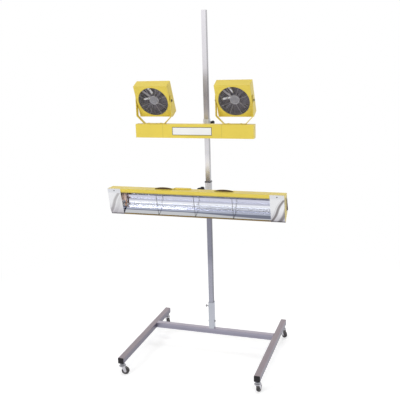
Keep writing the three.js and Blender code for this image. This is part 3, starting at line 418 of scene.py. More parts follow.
# Painted reflections on each end cap: one soft dark band for the dark edge of a room, with a faint echo
# beside it.
slanting_streaks(cap_metal, 0.54, 0.004, 0.12, [
    (-1.1224, 0.016, 0.55), (-1.101, 0.004, 0.2), (-1.0905, 0.018, 0.2), (-0.058, 0.013, 0.9),
    (-0.0735, 0.0035, 0.3), (-0.008, 0.02, 0.8)], 1.15, (0.24, 0.22, 0.22))
# Painted shade darkens the bottom edge of each cap, and a little of its top.
shaded_by_height(cap_metal, [
    (1.0083, (0.2, 0.19, 0.2)), (1.0135, (0.28, 0.26, 0.28)), (1.02, (0.66, 0.64, 0.67)),
    (1.05, (0.84, 0.83, 0.85)), (1.09, bright), (1.15, bright), (1.16, (0.88, 0.89, 0.91))])
print(len(bpy.data.materials), "materials so far")

# %% [markdown]
# ## Paint, plastic, rubber and ceramic
#
# The yellow is a powder coat: an even satin skin with the fine pebbling called orange peel. Two faint upright
# seams on the bar are lines across the same paint. The head darkens to brown at its bottom hem, and the foot
# of its front lip gets a band of painted olive shade.

# %% Coats and mouldings
yellow_rgb = (0.79, 0.62, 0.085)
coat = dict(worn=(0.62, 0.5, 0.16), wear=0.35, grain_scale=520.0, grain_depth=0.1, Coat_Weight=0.15)
yellow = finish("yellow_coat", yellow_rgb, 0.42, **coat)
yellow_bar = finish("yellow_bar_coat", yellow_rgb, 0.42, **coat)
yellow_head = finish("yellow_head_coat", yellow_rgb, 0.42, **coat)
# The wiring channel's very dark brown is partly its own brown coat and partly painted shade at the back of
# the head.
brown = finish("brown_coat_and_shade", (0.06, 0.022, 0.014), 0.65, worn=(0.3, 0.2, 0.15), wear=0.2, dusty=0.03,
               grain_scale=500.0, Specular_IOR_Level=0.08)
black_plastic = finish("black_plastic", (0.014, 0.012, 0.015), 0.46, dusty=0.04, grain_scale=700.0,
                       grain_depth=0.15, Specular_IOR_Level=0.3)
tread = finish("tread_rubber", (0.03, 0.027, 0.03), 0.7, dusty=0.5, grain_scale=500.0, grain_depth=0.2)
hub_plastic = finish("hub_plastic", (0.06, 0.055, 0.06), 0.5, grain_scale=600.0)
ceramic = finish("ceramic", (0.78, 0.6, 0.55), 0.7, shade=0.35, grain_scale=600.0, grain_depth=0.15)
end_seal = finish("end_seal", (0.8, 0.78, 0.74), 0.6, grain_scale=600.0)
plate_white = finish("plate_white", (0.88, 0.88, 0.87), 0.4, dusty=0.03, shade=0.04)
plate_black = finish("plate_black", (0.02, 0.02, 0.022), 0.4)
guard_grey = finish("guard_grey", (0.42, 0.4, 0.42), 0.4, 0.3)
cover_grey = finish("cover_grey", (0.36, 0.36, 0.4), 0.42, 0.2)
collar_grey = finish("collar_grey", (0.12, 0.12, 0.13), 0.45)
rim_grey = finish("rim_grey", (0.55, 0.54, 0.58), 0.4, 0.3)
# One strut of each motor gets the pale finish as painted light, and the other three the dark one as painted
# shade.
strut_painted_lit = finish("strut_painted_lit", (0.46, 0.44, 0.47), 0.4, 0.3)
strut_painted_shade = finish("strut_painted_shade", (0.13, 0.12, 0.15), 0.4, 0.3)
blade_grey = finish("blade_grey", (0.085, 0.074, 0.1), 0.42, 0.2, shade=0.4)
# The sheet in each louvre's opening is coloured dark as painted shade.
slot_painted_shade = finish("slot_painted_shade", (0.07, 0.04, 0.028), 0.6)
# The duct inside each fan's mouth is coloured dark as painted shade.
duct_painted_shade = finish("duct_painted_shade", (0.07, 0.062, 0.08), 0.5, 0.2, shade=0.3)

seams_across(yellow_bar, (-0.1966, 0.1806), 0.0009, 0.45, (0.3, 0.22, 0.04))
# The head darkens to brown at its bottom hem, and painted olive shade lies at the foot of the front lip.
shaded_by_height(yellow_head, [
    (1.008, (0.22, 0.16, 0.3)), (1.0135, (0.3, 0.22, 0.4)), (1.0165, bright), (1.157, (0.55, 0.55, 0.6)),
    (1.1605, (0.6, 0.6, 0.65)), (1.1635, bright)])
print(len(bpy.data.materials), "materials so far")

# %% [markdown]
# ## Quartz
#
# The lamp tube is clear quartz glass, so it is one plain glass shader. Its surface is very smooth, and a
# faint ripple left by the drawing of the tube is all the detail it has.

# %% Quartz glass
quartz, tree, shader = new_material("quartz")
feed(tree, shader["Base Color"], (0.96, 0.97, 1))
for label, value in (("Roughness", 0.05), ("IOR", 1.46), ("Transmission Weight", 0.9)):
    shader[label].default_value = value
ripple = use(tree, grain, Scale=120.0, Stretch=(0.1, 1.0, 1.0))["Grain"]
feed(tree, shader["Normal"], bumped(tree, ripple, 0.05))
print("glass", quartz.name)

# %% [markdown]
# ## Dressing the solids that stay
#
# Tube, folded sheet and plate have flat faces, so their solids are already right and only need a finish.
# Tube gets the streaks that run along it.

# %% Finishes of the solids
ways = {"left": -1, "right": 1, "front": -1, "rear": 1}
sides = ("left", "right")
corners = [(side, end) for side in sides for end in ("front", "rear")]
dressed = {
    zinc_upright: ["post"],
    zinc_sleeve: ["lamp_sleeve", "fan_sleeve"],
    zinc_socket: ["post_socket"],
    zinc_across: ["crossbar"],
    zinc_lengthwise: ["left_rail", "right_rail"],
    zinc_arm: ["lamp_arm", "fan_arm", "lamp_bracket"],
    yellow_head: ["lamp_housing"],
    yellow: [f"fan_{piece}_{side}" for piece in ("yoke", "shroud") for side in sides],
    yellow_bar: ["fan_bar"],
    brown: ["wiring_channel"],
    mirror: ["lamp_reflector"],
    fastener: [f"caster_stem_{side}_{end}" for side, end in corners],
}
for material, nodes in dressed.items():
    for node in nodes:
        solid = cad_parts[node]
        if not solid.material_slots:
            solid.data.materials.append(material)
        for material_slot in solid.material_slots:
            material_slot.material = material
print("dressed", sum(map(len, dressed.values())), "of", len(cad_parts), "solids")

# %% [markdown]
# ## Helpers for new pieces
#
# Most small pieces are turned or extruded. `turned` draws half of a section as a few vertices and spins it
# about Z. `slab` extrudes an outline, and `bent_grid` bends a flat sheet. `finished` turns the work into a
# named piece: it smooths its curves and lets it ride with the right moving body. Four quarter turns point Z
# another way.

# %% Shape helpers
stay = Matrix.Identity(4)
quarter = pi / 2
toward_x, toward_minus_x = turn(quarter, "Y"), turn(-quarter, "Y")
forward, toward_y = turn(quarter, "X"), turn(-quarter, "X")
made = []


def extent(node):
    """The low corner, the high corner and the middle of a solid's box."""
    low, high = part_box(node)
    return low, high, (low + high) / 2


def points_in(geometry):
    return [part for part in geometry if isinstance(part, bmesh.types.BMVert)]


def settled(bm, before, place_it, material):
    """Turns the new faces outwards, gives them a finish and moves them into place."""
    faces = [f for f in bm.faces if f not in before]
    bmesh.ops.recalc_face_normals(bm, faces=faces)
    for face in faces:
        face.material_index = material
    bmesh.ops.transform(bm, matrix=place_it, verts=list({v for f in faces for v in f.verts}))
    return faces


def turned(bm, profile, steps=48, place_it=stay, material=0):
    """Spins a section of (radius, height) points about Z, closed unless it starts on the axis."""
    start = [bm.verts.new((r, 0, h)) for r, h in profile]
    lines = [bm.edges.new(pair) for pair in zip(start, start[1:])]
    if profile[0][0] > 0:
        lines.append(bm.edges.new((start[-1], start[0])))
    before = set(bm.faces)
    bmesh.ops.spin(bm, geom=start + lines, cent=(0, 0, 0), axis=(0, 0, 1), angle=2 * pi, steps=steps,
                   use_merge=True, use_duplicate=False)
    points = list({v for f in bm.faces if f not in before for v in f.verts})
    bmesh.ops.remove_doubles(bm, verts=points, dist=1e-6)
    return settled(bm, before, place_it, material)


def slab(bm, outline, thickness, bevel=0.0, segments=2, place_it=stay, material=0):
    """Extrudes an outline in X and Y up by a thickness and rounds its edges."""
    before = set(bm.faces)
    bottom = bm.faces.new([bm.verts.new((x, y, 0)) for x, y in outline])
    top = bmesh.ops.extrude_face_region(bm, geom=[bottom])["geom"]
    bmesh.ops.translate(bm, vec=(0, 0, thickness), verts=points_in(top))
    if bevel:
        new_edges = {e for f in bm.faces if f not in before for e in f.edges}
        sharp = [e for e in new_edges if abs(e.calc_face_angle(0)) > 0.6]
        bmesh.ops.bevel(bm, geom=sharp, offset=bevel, affect="EDGES", segments=segments, profile=0.5,
                        material=-1)
    return settled(bm, before, place_it, material)


def bent_grid(bm, columns, rows, bend, thickness=0.0):
    """A sheet that starts as a flat grid: bend(x, y), each from -0.5 to 0.5, gives the place of a point."""
    before = set(bm.verts)
    bmesh.ops.create_grid(bm, x_segments=columns, y_segments=rows, size=0.5)
    points = [v for v in bm.verts if v not in before]
    for point in points:
        point.co = bend(point.co.x, point.co.y)
    if thickness:
        bmesh.ops.solidify(bm, geom=list({f for v in points for f in v.link_faces}), thickness=thickness)
    return [v for v in bm.verts if v not in before]


def rod(bm, start, end, radius, sides_of=16, material=0):
    """A round bar with slightly rounded ends between two points."""
    way = Vector(end) - Vector(start)
    soft = min(radius * 0.3, way.length * 0.2)
    profile = [(0, 0), (radius - soft, 0), (radius, soft), (radius, way.length - soft),
               (radius - soft, way.length), (0, way.length)]
    lean = Vector((0, 0, 1)).rotation_difference(way).to_matrix().to_4x4()
    return turned(bm, profile, sides_of, move(start) @ lean, material)


def rectangle(width, height):
    return [(x * width / 2, y * height / 2) for x, y in ((-1, -1), (1, -1), (1, 1), (-1, 1))]


def mesh_from(bm, name, materials):
    mesh = bpy.data.meshes.new(name)
    bm.to_mesh(mesh)
    bm.free()
    for material in materials:
        mesh.materials.append(material)
    return mesh


def finished(bm, name, body, materials, stands_for=(), smooth=40):
    mesh = mesh_from(bm, name, materials)
    mesh.shade_smooth()
    mesh.set_sharp_from_angle(angle=radians(smooth))
    piece = add_object(name, mesh)
    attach(piece, body)
    if stands_for:
        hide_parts(*stands_for)
    made.append(piece)


print("shape helpers ready")

# %% [markdown]
# ## End caps of the rails
#
# Each rail ends in a moulded plastic cap. It is a square slab with soft edges, on a plug that grips the
# inside of the tube.

# %% Rail end caps
face_sheet, plug_reach, two_walls = 0.004, 0.008, 0.005
for side, end in corners:
    node = f"rail_end_cap_{side}_{end}"
    low, high, middle = extent(node)
    width = high.x - low.x
    face_y, outwards = (low.y + face_sheet, forward) if end == "front" else (high.y - face_sheet, toward_y)
    at = move((middle.x, face_y, middle.z)) @ outwards
    bm = bmesh.new()
    slab(bm, rectangle(width, high.z - low.z), face_sheet, 0.0014, 3, at)
    slab(bm, rectangle(width - two_walls, width - two_walls), -plug_reach, 0.0, 1, at)
    finished(bm, f"end_plug_{side}_{end}", "root", [black_plastic], [node])
print("4 end caps,", round(width * 1000, 1), "mm square")

# %% [markdown]
# ## Casters
#
# A caster is a hard wheel between the legs of a pressed fork, which swivels under the rail. Each one has
# come to rest at its own heading. The wheel is spun from half a section, with a shallow dish between its
# tread and its hub. The legs are slabs with a round eye at the axle, and two ears tie them to the hollow
# ball race on top.

# %% Caster shapes
wheel_radius, wheel_half, hub_reach, trail = 0.0254, 0.010, 0.0175, 0.018
rail_x, caster_y, fork_top, fork_sheet = 0.446, 0.40175, 0.0637, 0.0025
headings = {("left", "front"): 10, ("right", "front"): 80, ("left", "rear"): -50, ("right", "rear"): -45}
half_tread = [(0.0043, 0.010), (0.0085, 0.010), (0.0095, 0.0085), (0.0165, 0.0078), (0.0185, 0.0092),
              (0.0215, 0.0098), (0.0240, 0.0084), (0.0251, 0.0058), (wheel_radius, 0.0)]
tread_section = half_tread + [(r, -h) for r, h in reversed(half_tread[:-1])]
eye_radius = 0.009
eye = [(trail + eye_radius * cos(radians(a)), wheel_radius + eye_radius * sin(radians(a)))
       for a in range(190, 351, 16)]
under_race = fork_top - fork_sheet
leg = [(-0.013, fork_top), *eye, (trail, under_race), (trail - fork_sheet, fork_top)]
race = [(0.0063, under_race), (0.0105, under_race), (0.0105, 0.0545), (0.0205, 0.0545), (0.0225, 0.0556),
        (0.0225, 0.0590), (0.0212, 0.0612), (0.0180, 0.0628), (0.0146, fork_top), (0.0063, fork_top)]
rivet = [(0, 0.002), (0.003, 0.0019), (0.0058, 0.0012), (0.0065, 0), (0, 0)]
inner = wheel_half + 0.001
outer, ear_start = inner + fork_sheet, 0.0075

for side, end in corners:
    heading = turn(radians(headings[side, end]), "Z")
    stand = move((ways[side] * rail_x, ways[end] * caster_y, 0)) @ heading
    axle = stand @ move((trail, 0, wheel_radius)) @ toward_y
    bm = bmesh.new()
    for face in turned(bm, tread_section, 56, axle):
        face.material_index = int((face.calc_center_median() - axle.to_translation()).length < hub_reach)
    finished(bm, f"wheel_{side}_{end}", f"wheel_{side}_{end}", [tread, hub_plastic],
             [f"caster_wheel_{side}_{end}"])

    bm = bmesh.new()
    for near in (-inner, outer):
        slab(bm, leg, fork_sheet, 0.0006, 2, stand @ move((0, near, 0)) @ forward)
    turned(bm, race, 48, stand)
    for way in (-1, 1):
        ear = stand @ move((0.001, way * (outer + ear_start) / 2, under_race))
        slab(bm, rectangle(0.028, outer - ear_start), fork_sheet, 0.0004, 1, ear)
        over = turn(0 if way > 0 else pi, "X")
        turned(bm, rivet, 24, axle @ move((0, 0, way * outer)) @ over)
    rod(bm, axle @ Vector((0, 0, -outer)), axle @ Vector((0, 0, outer)), 0.004)
    finished(bm, f"fork_{side}_{end}", f"caster_{side}_{end}", [zinc_pressed],
             [f"caster_fork_{side}_{end}"])
print("4 casters with wheels", round(2000 * wheel_radius, 1), "mm across")

# %% [markdown]
# ## Bolts of the post
#
# One through bolt holds the post in its socket, and a thumb screw takes up the play. Hex heads are six
# sided slabs with their edges eased, and the thumb screw's head is ribbed for the fingers.

# %% Bolts
def ring_of(count, radius, ripple=0.0, lobes=0):
    """An outline of points round a circle, whose radius may swell and shrink on the way."""
    angles = [2 * pi * i / count for i in range(count)]
    reaches = [radius - ripple + ripple * cos(lobes * a) for a in angles]
    return [(reach * cos(a), reach * sin(a)) for reach, a in zip(reaches, angles)]


post_x, post_y, socket_half, bolt_head = -0.012, 0.16575, 0.019375, 0.0053
low, high, middle = extent("socket_bolt")
bolt_z = middle.z
bm = bmesh.new()
rod(bm, (post_x - socket_half - 0.001, post_y, bolt_z), (high.x, post_y, bolt_z), 0.004)
for start in (post_x - socket_half - bolt_head, post_x + socket_half):
    slab(bm, ring_of(6, 0.0074), bolt_head, 0.0006, 2, move((start, post_y, bolt_z)) @ toward_x)
finished(bm, "post_bolt", "root", [fastener], ["socket_bolt"])

low, high, middle = extent("socket_thumb_screw")
screw_z = middle.z
bm = bmesh.new()
rod(bm, (low.x + 0.004, post_y, screw_z), (high.x, post_y, screw_z), 0.003)
slab(bm, ring_of(96, 0.009, 0.0004, 24), 0.008, 0.0009, 2, move((low.x, post_y, screw_z)) @ toward_x)
finished(bm, "thumb_screw_ribbed", "thumb_screw", [fastener], ["socket_thumb_screw"], 30)
print("bolt at", round(bolt_z, 4), "m, thumb screw at", round(screw_z, 4), "m")

# %% [markdown]
# ## The three knobs
#
# Each knob has three soft lobes on a collar and a stud. The outline is a circle whose radius swells three
# times round. Beyond the lobes a dome tapers to the face. The edges are rounded well, because the plastic
# is moulded to be turned by hand.

# %% Knobs
collar_reach = 0.0057


def lobed_knob(name, node, body, radius, thickness, taper, stud_tip, head_start, centre):
    """The stud runs from stud_tip to the head, both measured along X from the centre; signs give the side."""
    bm = bmesh.new()
    head = Vector(centre) + Vector((head_start, 0, 0))
    at = move(head) @ (toward_x if head_start > 0 else toward_minus_x)
    slab(bm, ring_of(72, radius, radius * 0.14, 3), thickness, thickness * 0.24, 4, at)
    collar = radius * 0.42
    turned(bm, [(0, -collar_reach), (collar * 0.92, -collar_reach), (collar, -collar_reach + 0.001),
                (collar, 0.001), (0, 0.001)], 32, at)
    base, face = radius * 0.76, radius * 0.5
    dome = [(face + (base - face) * cos(radians(a)), thickness + taper * 0.88 * sin(radians(a)))
            for a in range(0, 91, 15)]
    turned(bm, [(0, thickness - 0.001), (base, thickness - 0.001), *dome,
                (face * 0.75, thickness + taper * 0.97), (face * 0.45, thickness + taper * 0.9),
                (0, thickness + taper * 0.88)], 48, at)
    rod(bm, Vector(centre) + Vector((stud_tip, 0, 0)), head, 0.005, 20, 1)
    finished(bm, name, body, [black_plastic, fastener], [node], 35)


sleeve_half, stud_reach = 0.019075, 0.016175
sleeve_head = sleeve_half + 0.013
lobed_knob("lamp_height_knob", "lamp_lock_knob", "lamp_lock", 0.030, 0.024, 0.027, -stud_reach, -sleeve_head,
           (post_x, post_y, 1.1040))
lobed_knob("fan_height_knob", "fan_lock_knob", "fan_lock", 0.016, 0.014, 0.005, stud_reach, sleeve_head,
           (post_x, post_y, 1.5645))
lobed_knob("lamp_angle_knob", "tilt_knob", "tilt_lock", 0.022, 0.016, 0.006, -0.0325, 0.0305,
           (post_x, -0.06805, 1.1053))
print("3 knobs")

# %% [markdown]
# A dark plastic collar is pressed over the top of the lamp's sleeve, so that the sleeve doesn't scratch the
# post. A hooked section that is spun in four steps gives a square ring.

# %% Collar
collar_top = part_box("lamp_sleeve")[1].z
wall_out, wall_in, lip_in = (sqrt(2) * (sleeve_half + d) for d in (0.0007, 0.0001, -0.0028))
bm = bmesh.new()
turned(bm, [(wall_in, -0.008), (wall_out, -0.008), (wall_out, 0.0008), (wall_out - 0.0008, 0.0016),
            (lip_in, 0.0016), (lip_in, 0.0002), (wall_in, 0.0002)], 4,
       move((post_x, post_y, collar_top)) @ turn(pi / 4, "Z"))
finished(bm, "sleeve_collar", "lamp_carriage", [collar_grey], (), 30)
print("collar at", round(collar_top, 4), "m")

# %% [markdown]
# ## The lamp tube, its coil and its two holders
#
# A long coil of resistance wire lies in the quartz tube. The coil is a small circle spun many times while
# it moves along: the spin operator's dvec does the moving. The tube is spun from a thin section with its
# ends rounded, as a flame rounds cut glass.

# %% Tube and coil
top_z, front_y = 1.1823, -0.21205


def at_section(depth, drop):
    """A place in the lamp head's section: depth back from its front edge, drop down from its top, in mm."""
    return Vector((0, front_y + depth / 1000, top_z - drop / 1000))


tube_centre = at_section(49, 111) + Vector((0.011, 0, 0))
tube_length, tube_radius, tube_wall, end_seal_length = 1.0, 0.010, 0.0013, 0.014
half = tube_length / 2
inner_radius = tube_radius - tube_wall
soft = tube_wall / 3
wall_section = [(inner_radius + soft, -half), (tube_radius - soft, -half), (tube_radius, -half + soft),
                (tube_radius, half - soft), (tube_radius - soft, half), (inner_radius + soft, half),
                (inner_radius, half - soft), (inner_radius, -half + soft)]
bm = bmesh.new()
turned(bm, wall_section, 48, move(tube_centre) @ toward_x)
finished(bm, "lamp_tube", "lamp_head", [quartz], ["quartz_tube"])

coil_turns, coil_steps, coil_radius, wire_radius = 300, 8, 0.003, 0.0005
coil_length, all_steps = tube_length - 0.030, coil_turns * coil_steps
bm = bmesh.new()
section_ring = bmesh.ops.create_circle(bm, segments=6, radius=wire_radius, cap_ends=True)["verts"]
bmesh.ops.rotate(bm, verts=section_ring, cent=(0, 0, 0), matrix=Matrix.Rotation(quarter, 3, "X"))
bmesh.ops.translate(bm, verts=section_ring, vec=(coil_radius, 0, -coil_length / 2))
lines = list({e for v in section_ring for e in v.link_edges})
bmesh.ops.spin(bm, geom=section_ring + lines + list(bm.faces), cent=(0, 0, 0), axis=(0, 0, 1),
               dvec=(0, 0, coil_length / all_steps), angle=2 * pi * coil_turns, steps=all_steps,
               use_duplicate=False)
bmesh.ops.recalc_face_normals(bm, faces=bm.faces)
bmesh.ops.transform(bm, matrix=move(tube_centre) @ toward_x, verts=bm.verts)
for way in (-1, 1):
    start = tube_centre + Vector((way * (half - end_seal_length), 0, 0))
    rod(bm, start, start + Vector((way * end_seal_length, 0, 0)), inner_radius - 0.0003, 24, 1)
finished(bm, "resistance_coil", "lamp_head", [filament, end_seal], ["heating_coil"])
print("tube", tube_length, "m long with", coil_turns, "turns of wire")

# %% [markdown]
# A holder is a block of unglazed ceramic under the reflector's upper facet. A copper strap goes round it,
# held by two screws, and a spring clip at its inner end grips the tube.

# %% Lamp holders
sheet_upright = Matrix(((0, 0, 1, 0), (1, 0, 0, 0), (0, 1, 0, 0), (0, 0, 0, 1)))
holder_length, clip_length, clip_in, clip_out = 0.034, 0.008, 0.0103, 0.0119
clip_section = [(clip_in, 0), (clip_out, 0), (clip_out, clip_length), (clip_in, clip_length)]
strap_screw = [(0, 0.0018), (0.0015, 0.0016), (0.0026, 0.0008), (0.0028, 0), (0, 0)]


def section_outline(corners_of):
    """(depth, drop) points in the head's section, as an outline for a slab that is set upright."""
    return [(p.y, p.z) for p in (at_section(depth, drop) for depth, drop in corners_of)]


block = section_outline(((30, 36.4), (52.2, 46.4), (57, 73.9), (57, 80), (30, 80)))
for side, start, clip_start in (("left", -0.496, -0.470), ("right", 0.484, 0.484)):
    bm = bmesh.new()
    slab(bm, block, holder_length, 0.0012, 2, move((start, 0, 0)) @ sheet_upright)
    turned(bm, clip_section, 40, move((clip_start, tube_centre.y, tube_centre.z)) @ toward_x, 1)
    stem_top, stem_low = at_section(49, 80).z, at_section(49, 99.6).z
    stem = move((clip_start + clip_length / 2, tube_centre.y, stem_low))
    slab(bm, rectangle(clip_length, 0.003), stem_top - stem_low, 0.0, 1, stem, 1)
    strap_face = at_section(30, 58)
    for x, width in ((start + 0.009, 0.004), (start + 0.024, 0.005)):
        strap = move((x, strap_face.y + 0.0002, strap_face.z)) @ forward
        slab(bm, rectangle(width, 0.040), 0.0012, 0.0004, 1, strap, 1)
        for drop in (44, 72):
            screw_at = at_section(30, drop)
            turned(bm, strap_screw, 20, move((x, screw_at.y - 0.001, screw_at.z)) @ forward, 2)
    finished(bm, f"holder_{side}", "lamp_head", [ceramic, copper, dark_fastener],
             [f"lamp_holder_{side}"])
print("2 holders")

# %% [markdown]
# ## Polished end caps
#
# Each cap is one bent sheet. Its top strip is flat. Below that, its outer edge stands forward and bends in
# at the chin, and its inner edge runs straight back into the trough, so the sheet is slightly twisted.
# A grid bent between those two edges gives that twist smoothly. The twist bends the reflections into soft
# curves, and the dark bands among them are painted.

# %% End caps
cap_outer, cap_inner, cap_sheet, flange = 0.5695, 0.482, 0.0012, 0.008
lip, chin, keel = (25.0, 4.1), (134.0, 22.0), (174.0, 42.0)
columns, rows, strip_rows = 24, 36, 4
cap_screw = [(0, 0.0019), (0.002, 0.0017), (0.0036, 0.0009), (0.004, 0), (0, 0)]


def on_line(value, start, end):
    """What a value maps to on the straight line through two (value, result) points."""
    return start[1] + (value - start[0]) * (end[1] - start[1]) / (end[0] - start[0])


def outer_depth(drop):
    """The outer edge, with the chin's bend eased over some 15 mm each way."""
    upper, lower = on_line(drop, lip, chin), on_line(drop, chin, keel)
    share = min(max((drop - (chin[0] - 15)) / 30, 0), 1)
    return upper + (lower - upper) * share * share * (3 - 2 * share)


def cap_point(x, y):
    """A point of the right cap. X runs from the outer to the inner edge, and Y from the bottom to the top."""
    across, down = x + 0.5, (0.5 - y) * rows
    if down <= strip_rows + 0.001:
        drop = lip[0] * down / strip_rows
        depth = lip[1] * drop / lip[0]
    else:
        drop = on_line(down, (strip_rows, lip[0]), (rows, keel[0]))
        belly = 1.6 * sin(pi * across) * sin(pi * (drop - lip[0]) / (keel[0] - lip[0]))
        depth = outer_depth(drop) + (on_line(drop, lip, keel) - outer_depth(drop)) * across + belly
    spot = at_section(depth, drop)
    return Vector((cap_outer + (cap_inner - cap_outer) * across, spot.y - 0.0015, spot.z))


def on_flange(point):
    """Whether a point is on the stretch of the inner edge that is folded back."""
    return abs(abs(point.co.x) - cap_inner) < 1e-5 and at_section(0, 36).z > point.co.z > at_section(0, 150).z


for side in sides:
    bm = bmesh.new()
    mirrored = Matrix.Diagonal((ways[side], 1, 1))
    bent_grid(bm, columns, rows, lambda x, y: mirrored @ cap_point(x, y))
    inner_edge = [e for e in bm.edges if e.is_boundary and all(on_flange(v) for v in e.verts)]
    folded = bmesh.ops.extrude_edge_only(bm, edges=inner_edge)["geom"]
    bmesh.ops.translate(bm, vec=(0, flange, 0), verts=points_in(folded))
    bmesh.ops.recalc_face_normals(bm, faces=bm.faces)
    if max(bm.faces, key=lambda f: f.calc_center_median().z).normal.y > 0:
        bmesh.ops.reverse_faces(bm, faces=bm.faces)
    bmesh.ops.solidify(bm, geom=list(bm.faces), thickness=cap_sheet)
    spot = at_section(2.05, 12.5)
    head = move((ways[side] * (cap_outer + cap_inner) / 2, spot.y - 0.0014, spot.z)) @ forward
    turned(bm, cap_screw, 24, head, 1)
    finished(bm, f"polished_cap_{side}", "lamp_head", [cap_metal, dark_fastener],
             [f"lamp_end_cap_{side}"], 28)

# Behind each cap a pale sheet closes the end of the trough, and another one stands just beyond the end of
# the lamp tube.
outer_end = section_outline(((13, 43), (49, 48.5), (62.5, 76), (63, 113), (43, 158), (39, 155), (25, 134)))
inner_end = section_outline(((29, 80.6), (62.3, 80.6), (63, 113), (43, 158), (39.5, 155), (33, 113)))
for side in sides:
    bm = bmesh.new()
    tube_end = tube_centre.x + ways[side] * half
    for x, outline in ((ways[side] * 0.5665, outer_end), (tube_end + ways[side] * 0.0015, inner_end)):
        slab(bm, outline, 0.001, 0.0, 1, move((x - 0.0005, 0, 0)) @ sheet_upright)
    finished(bm, f"trough_end_{side}", "lamp_head", [end_sheet])
print("2 caps,", round((cap_outer - cap_inner) * 1000, 1), "mm wide")

# %% [markdown]
# ## Louvres and cover on the top of the head
#
# Each vent slot has a pressed louvre: a hood that rises towards the front, with a dark sheet of painted shade
# in the opening under it. A low folded cover lies between them. The hood is a grid that is bent to a flat
# arch.

# %% Louvres
slot_y, slot_half, hood_rise, hood_depth = -0.15505, 0.0625, 0.0125, 0.034
arch = [(x / 12 * slot_half, (hood_rise - 0.0012) * cos(pi * x / 24) ** 0.5) for x in range(11, -12, -1)]


def hood_point(x, y):
    """A point of a hood that is centred on X = 0: an arch that is highest at its front edge."""
    rise = hood_rise * max(cos(pi * x), 0) ** 0.5 * (0.5 - y) ** 0.7
    return Vector((x * 2 * slot_half, slot_y + y * hood_depth, top_z + 0.0006 + rise))


bm = bmesh.new()
for slot_x in (-0.2, 0.192):
    bent_grid(bm, 24, 6, lambda x, y: hood_point(x, y) + Vector((slot_x, 0, 0)), 0.001)
    opening = move((slot_x, slot_y - 0.0145, top_z + 0.0004)) @ forward
    # A dark sheet of painted shade fills the opening under the hood.
    slab(bm, [(-slot_half, -0.0002), (slot_half, -0.0002), *arch], 0.0006, 0.0, 1, opening, 1)
slab(bm, rectangle(0.108, 0.026), 0.0062, 0.0012, 2, move((-0.0835, -0.1475, top_z + 0.0003)))
finished(bm, "top_louvres", "lamp_head", [yellow, slot_painted_shade])
print("2 louvres,", round(2000 * slot_half), "mm wide")

# %% [markdown]
# ## Guard wires and cable gland
#
# Three thin wires cross the mouth of the trough. The gland at the back is a moulded nut and dome, spun
# and extruded, with a soft bore for a lead.

# %% Guard wires and gland
for name in ("left", "middle", "right"):
    low, high, middle = extent(f"guard_wire_{name}")
    upper, lower = (middle.x, low.y + 0.0015, high.z - 0.0004), (middle.x, high.y - 0.0015, low.z + 0.0004)
    bm = bmesh.new()
    rod(bm, upper, lower, 0.0015)
    finished(bm, f"mouth_wire_{name}", "lamp_head", [dark_fastener], [f"guard_wire_{name}"])

head_lean = atan2(32, 80)
rear_face = (-54 * cos(head_lean) + 42 * sin(head_lean) + 0.3) / 1000
rear_side = move((0, -0.06805, 1.1053)) @ turn(head_lean, "X")
gland_at = rear_side @ move((-0.150, rear_face, 0.006)) @ toward_y
bm = bmesh.new()
slab(bm, ring_of(6, 0.014), 0.006, 0.0008, 2, gland_at)
turned(bm, [(0.005, 0.0055), (0.0108, 0.0055), (0.011, 0.014), (0.0104, 0.018), (0.0088, 0.021),
            (0.0062, 0.022), (0.005, 0.0208)], 40, gland_at)
turned(bm, [(0.005, -0.0075), (0.0075, -0.0075), (0.0075, 0.001), (0.005, 0.001)], 32, gland_at)
finished(bm, "lead_gland", "lamp_head", [black_plastic], ["cable_gland"])
print("3 guard wires and a gland")

# %% [markdown]
# ## The bare plate on the bar
#
# The plate is white with a narrow black border, and nothing is printed on it. Its front face is inset once,
# and the outer ring of that inset gets the black.

# %% Plate
low, high, middle = extent("name_plate")
bm = bmesh.new()
bmesh.ops.create_cube(bm, size=1)
bmesh.ops.scale(bm, vec=high - low, verts=bm.verts)
bmesh.ops.translate(bm, vec=middle, verts=bm.verts)
front = min(bm.faces, key=lambda f: f.calc_center_median().y)
bmesh.ops.inset_region(bm, faces=[front], thickness=0.0028, use_even_offset=True)
for face in bm.faces:
    face.material_index = int(face != front)
finished(bm, "bare_plate", "fan_carriage", [plate_white, plate_black], ["name_plate"], 30)
print("plate", [round(v * 1000, 1) for v in high - low], "mm")

# %% [markdown]
# ## The fans
#
# Each fan is set in a frame of its own: the origin is on the pivot, -Y looks out of the mouth, and the
# whole is turned down by the rest tilt. In that frame every round piece is spun about the way out of the
# mouth, which `forward` turns Z to, so heights in these sections count towards the front.

# %% Frame of each fan
fan_x, pivot_y, pivot_z, rest_tilt = 0.257, -0.13095, 1.73, radians(25.9)
fan_frames = {side: move((ways[side] * fan_x, pivot_y, pivot_z)) @ turn(rest_tilt, "X")
              for side in sides}
print("fans", round(2 * fan_x, 3), "m apart, tilted", round(degrees(rest_tilt), 1), "degrees")

# %% [markdown]
# The mouth has a rolled rim, and a duct leads from it to the back, coloured dark as painted shade for the
# inside of the mouth. Behind the mouth lies a guard of thin wire rings on crossed spokes, and a closer one
# covers the back.

# %% Rim and guards
mouth, face_out, duct, duct_wall, duct_back = 0.097, 0.0136, 0.1006, 0.001, -0.0531
first_ring = 0.0245


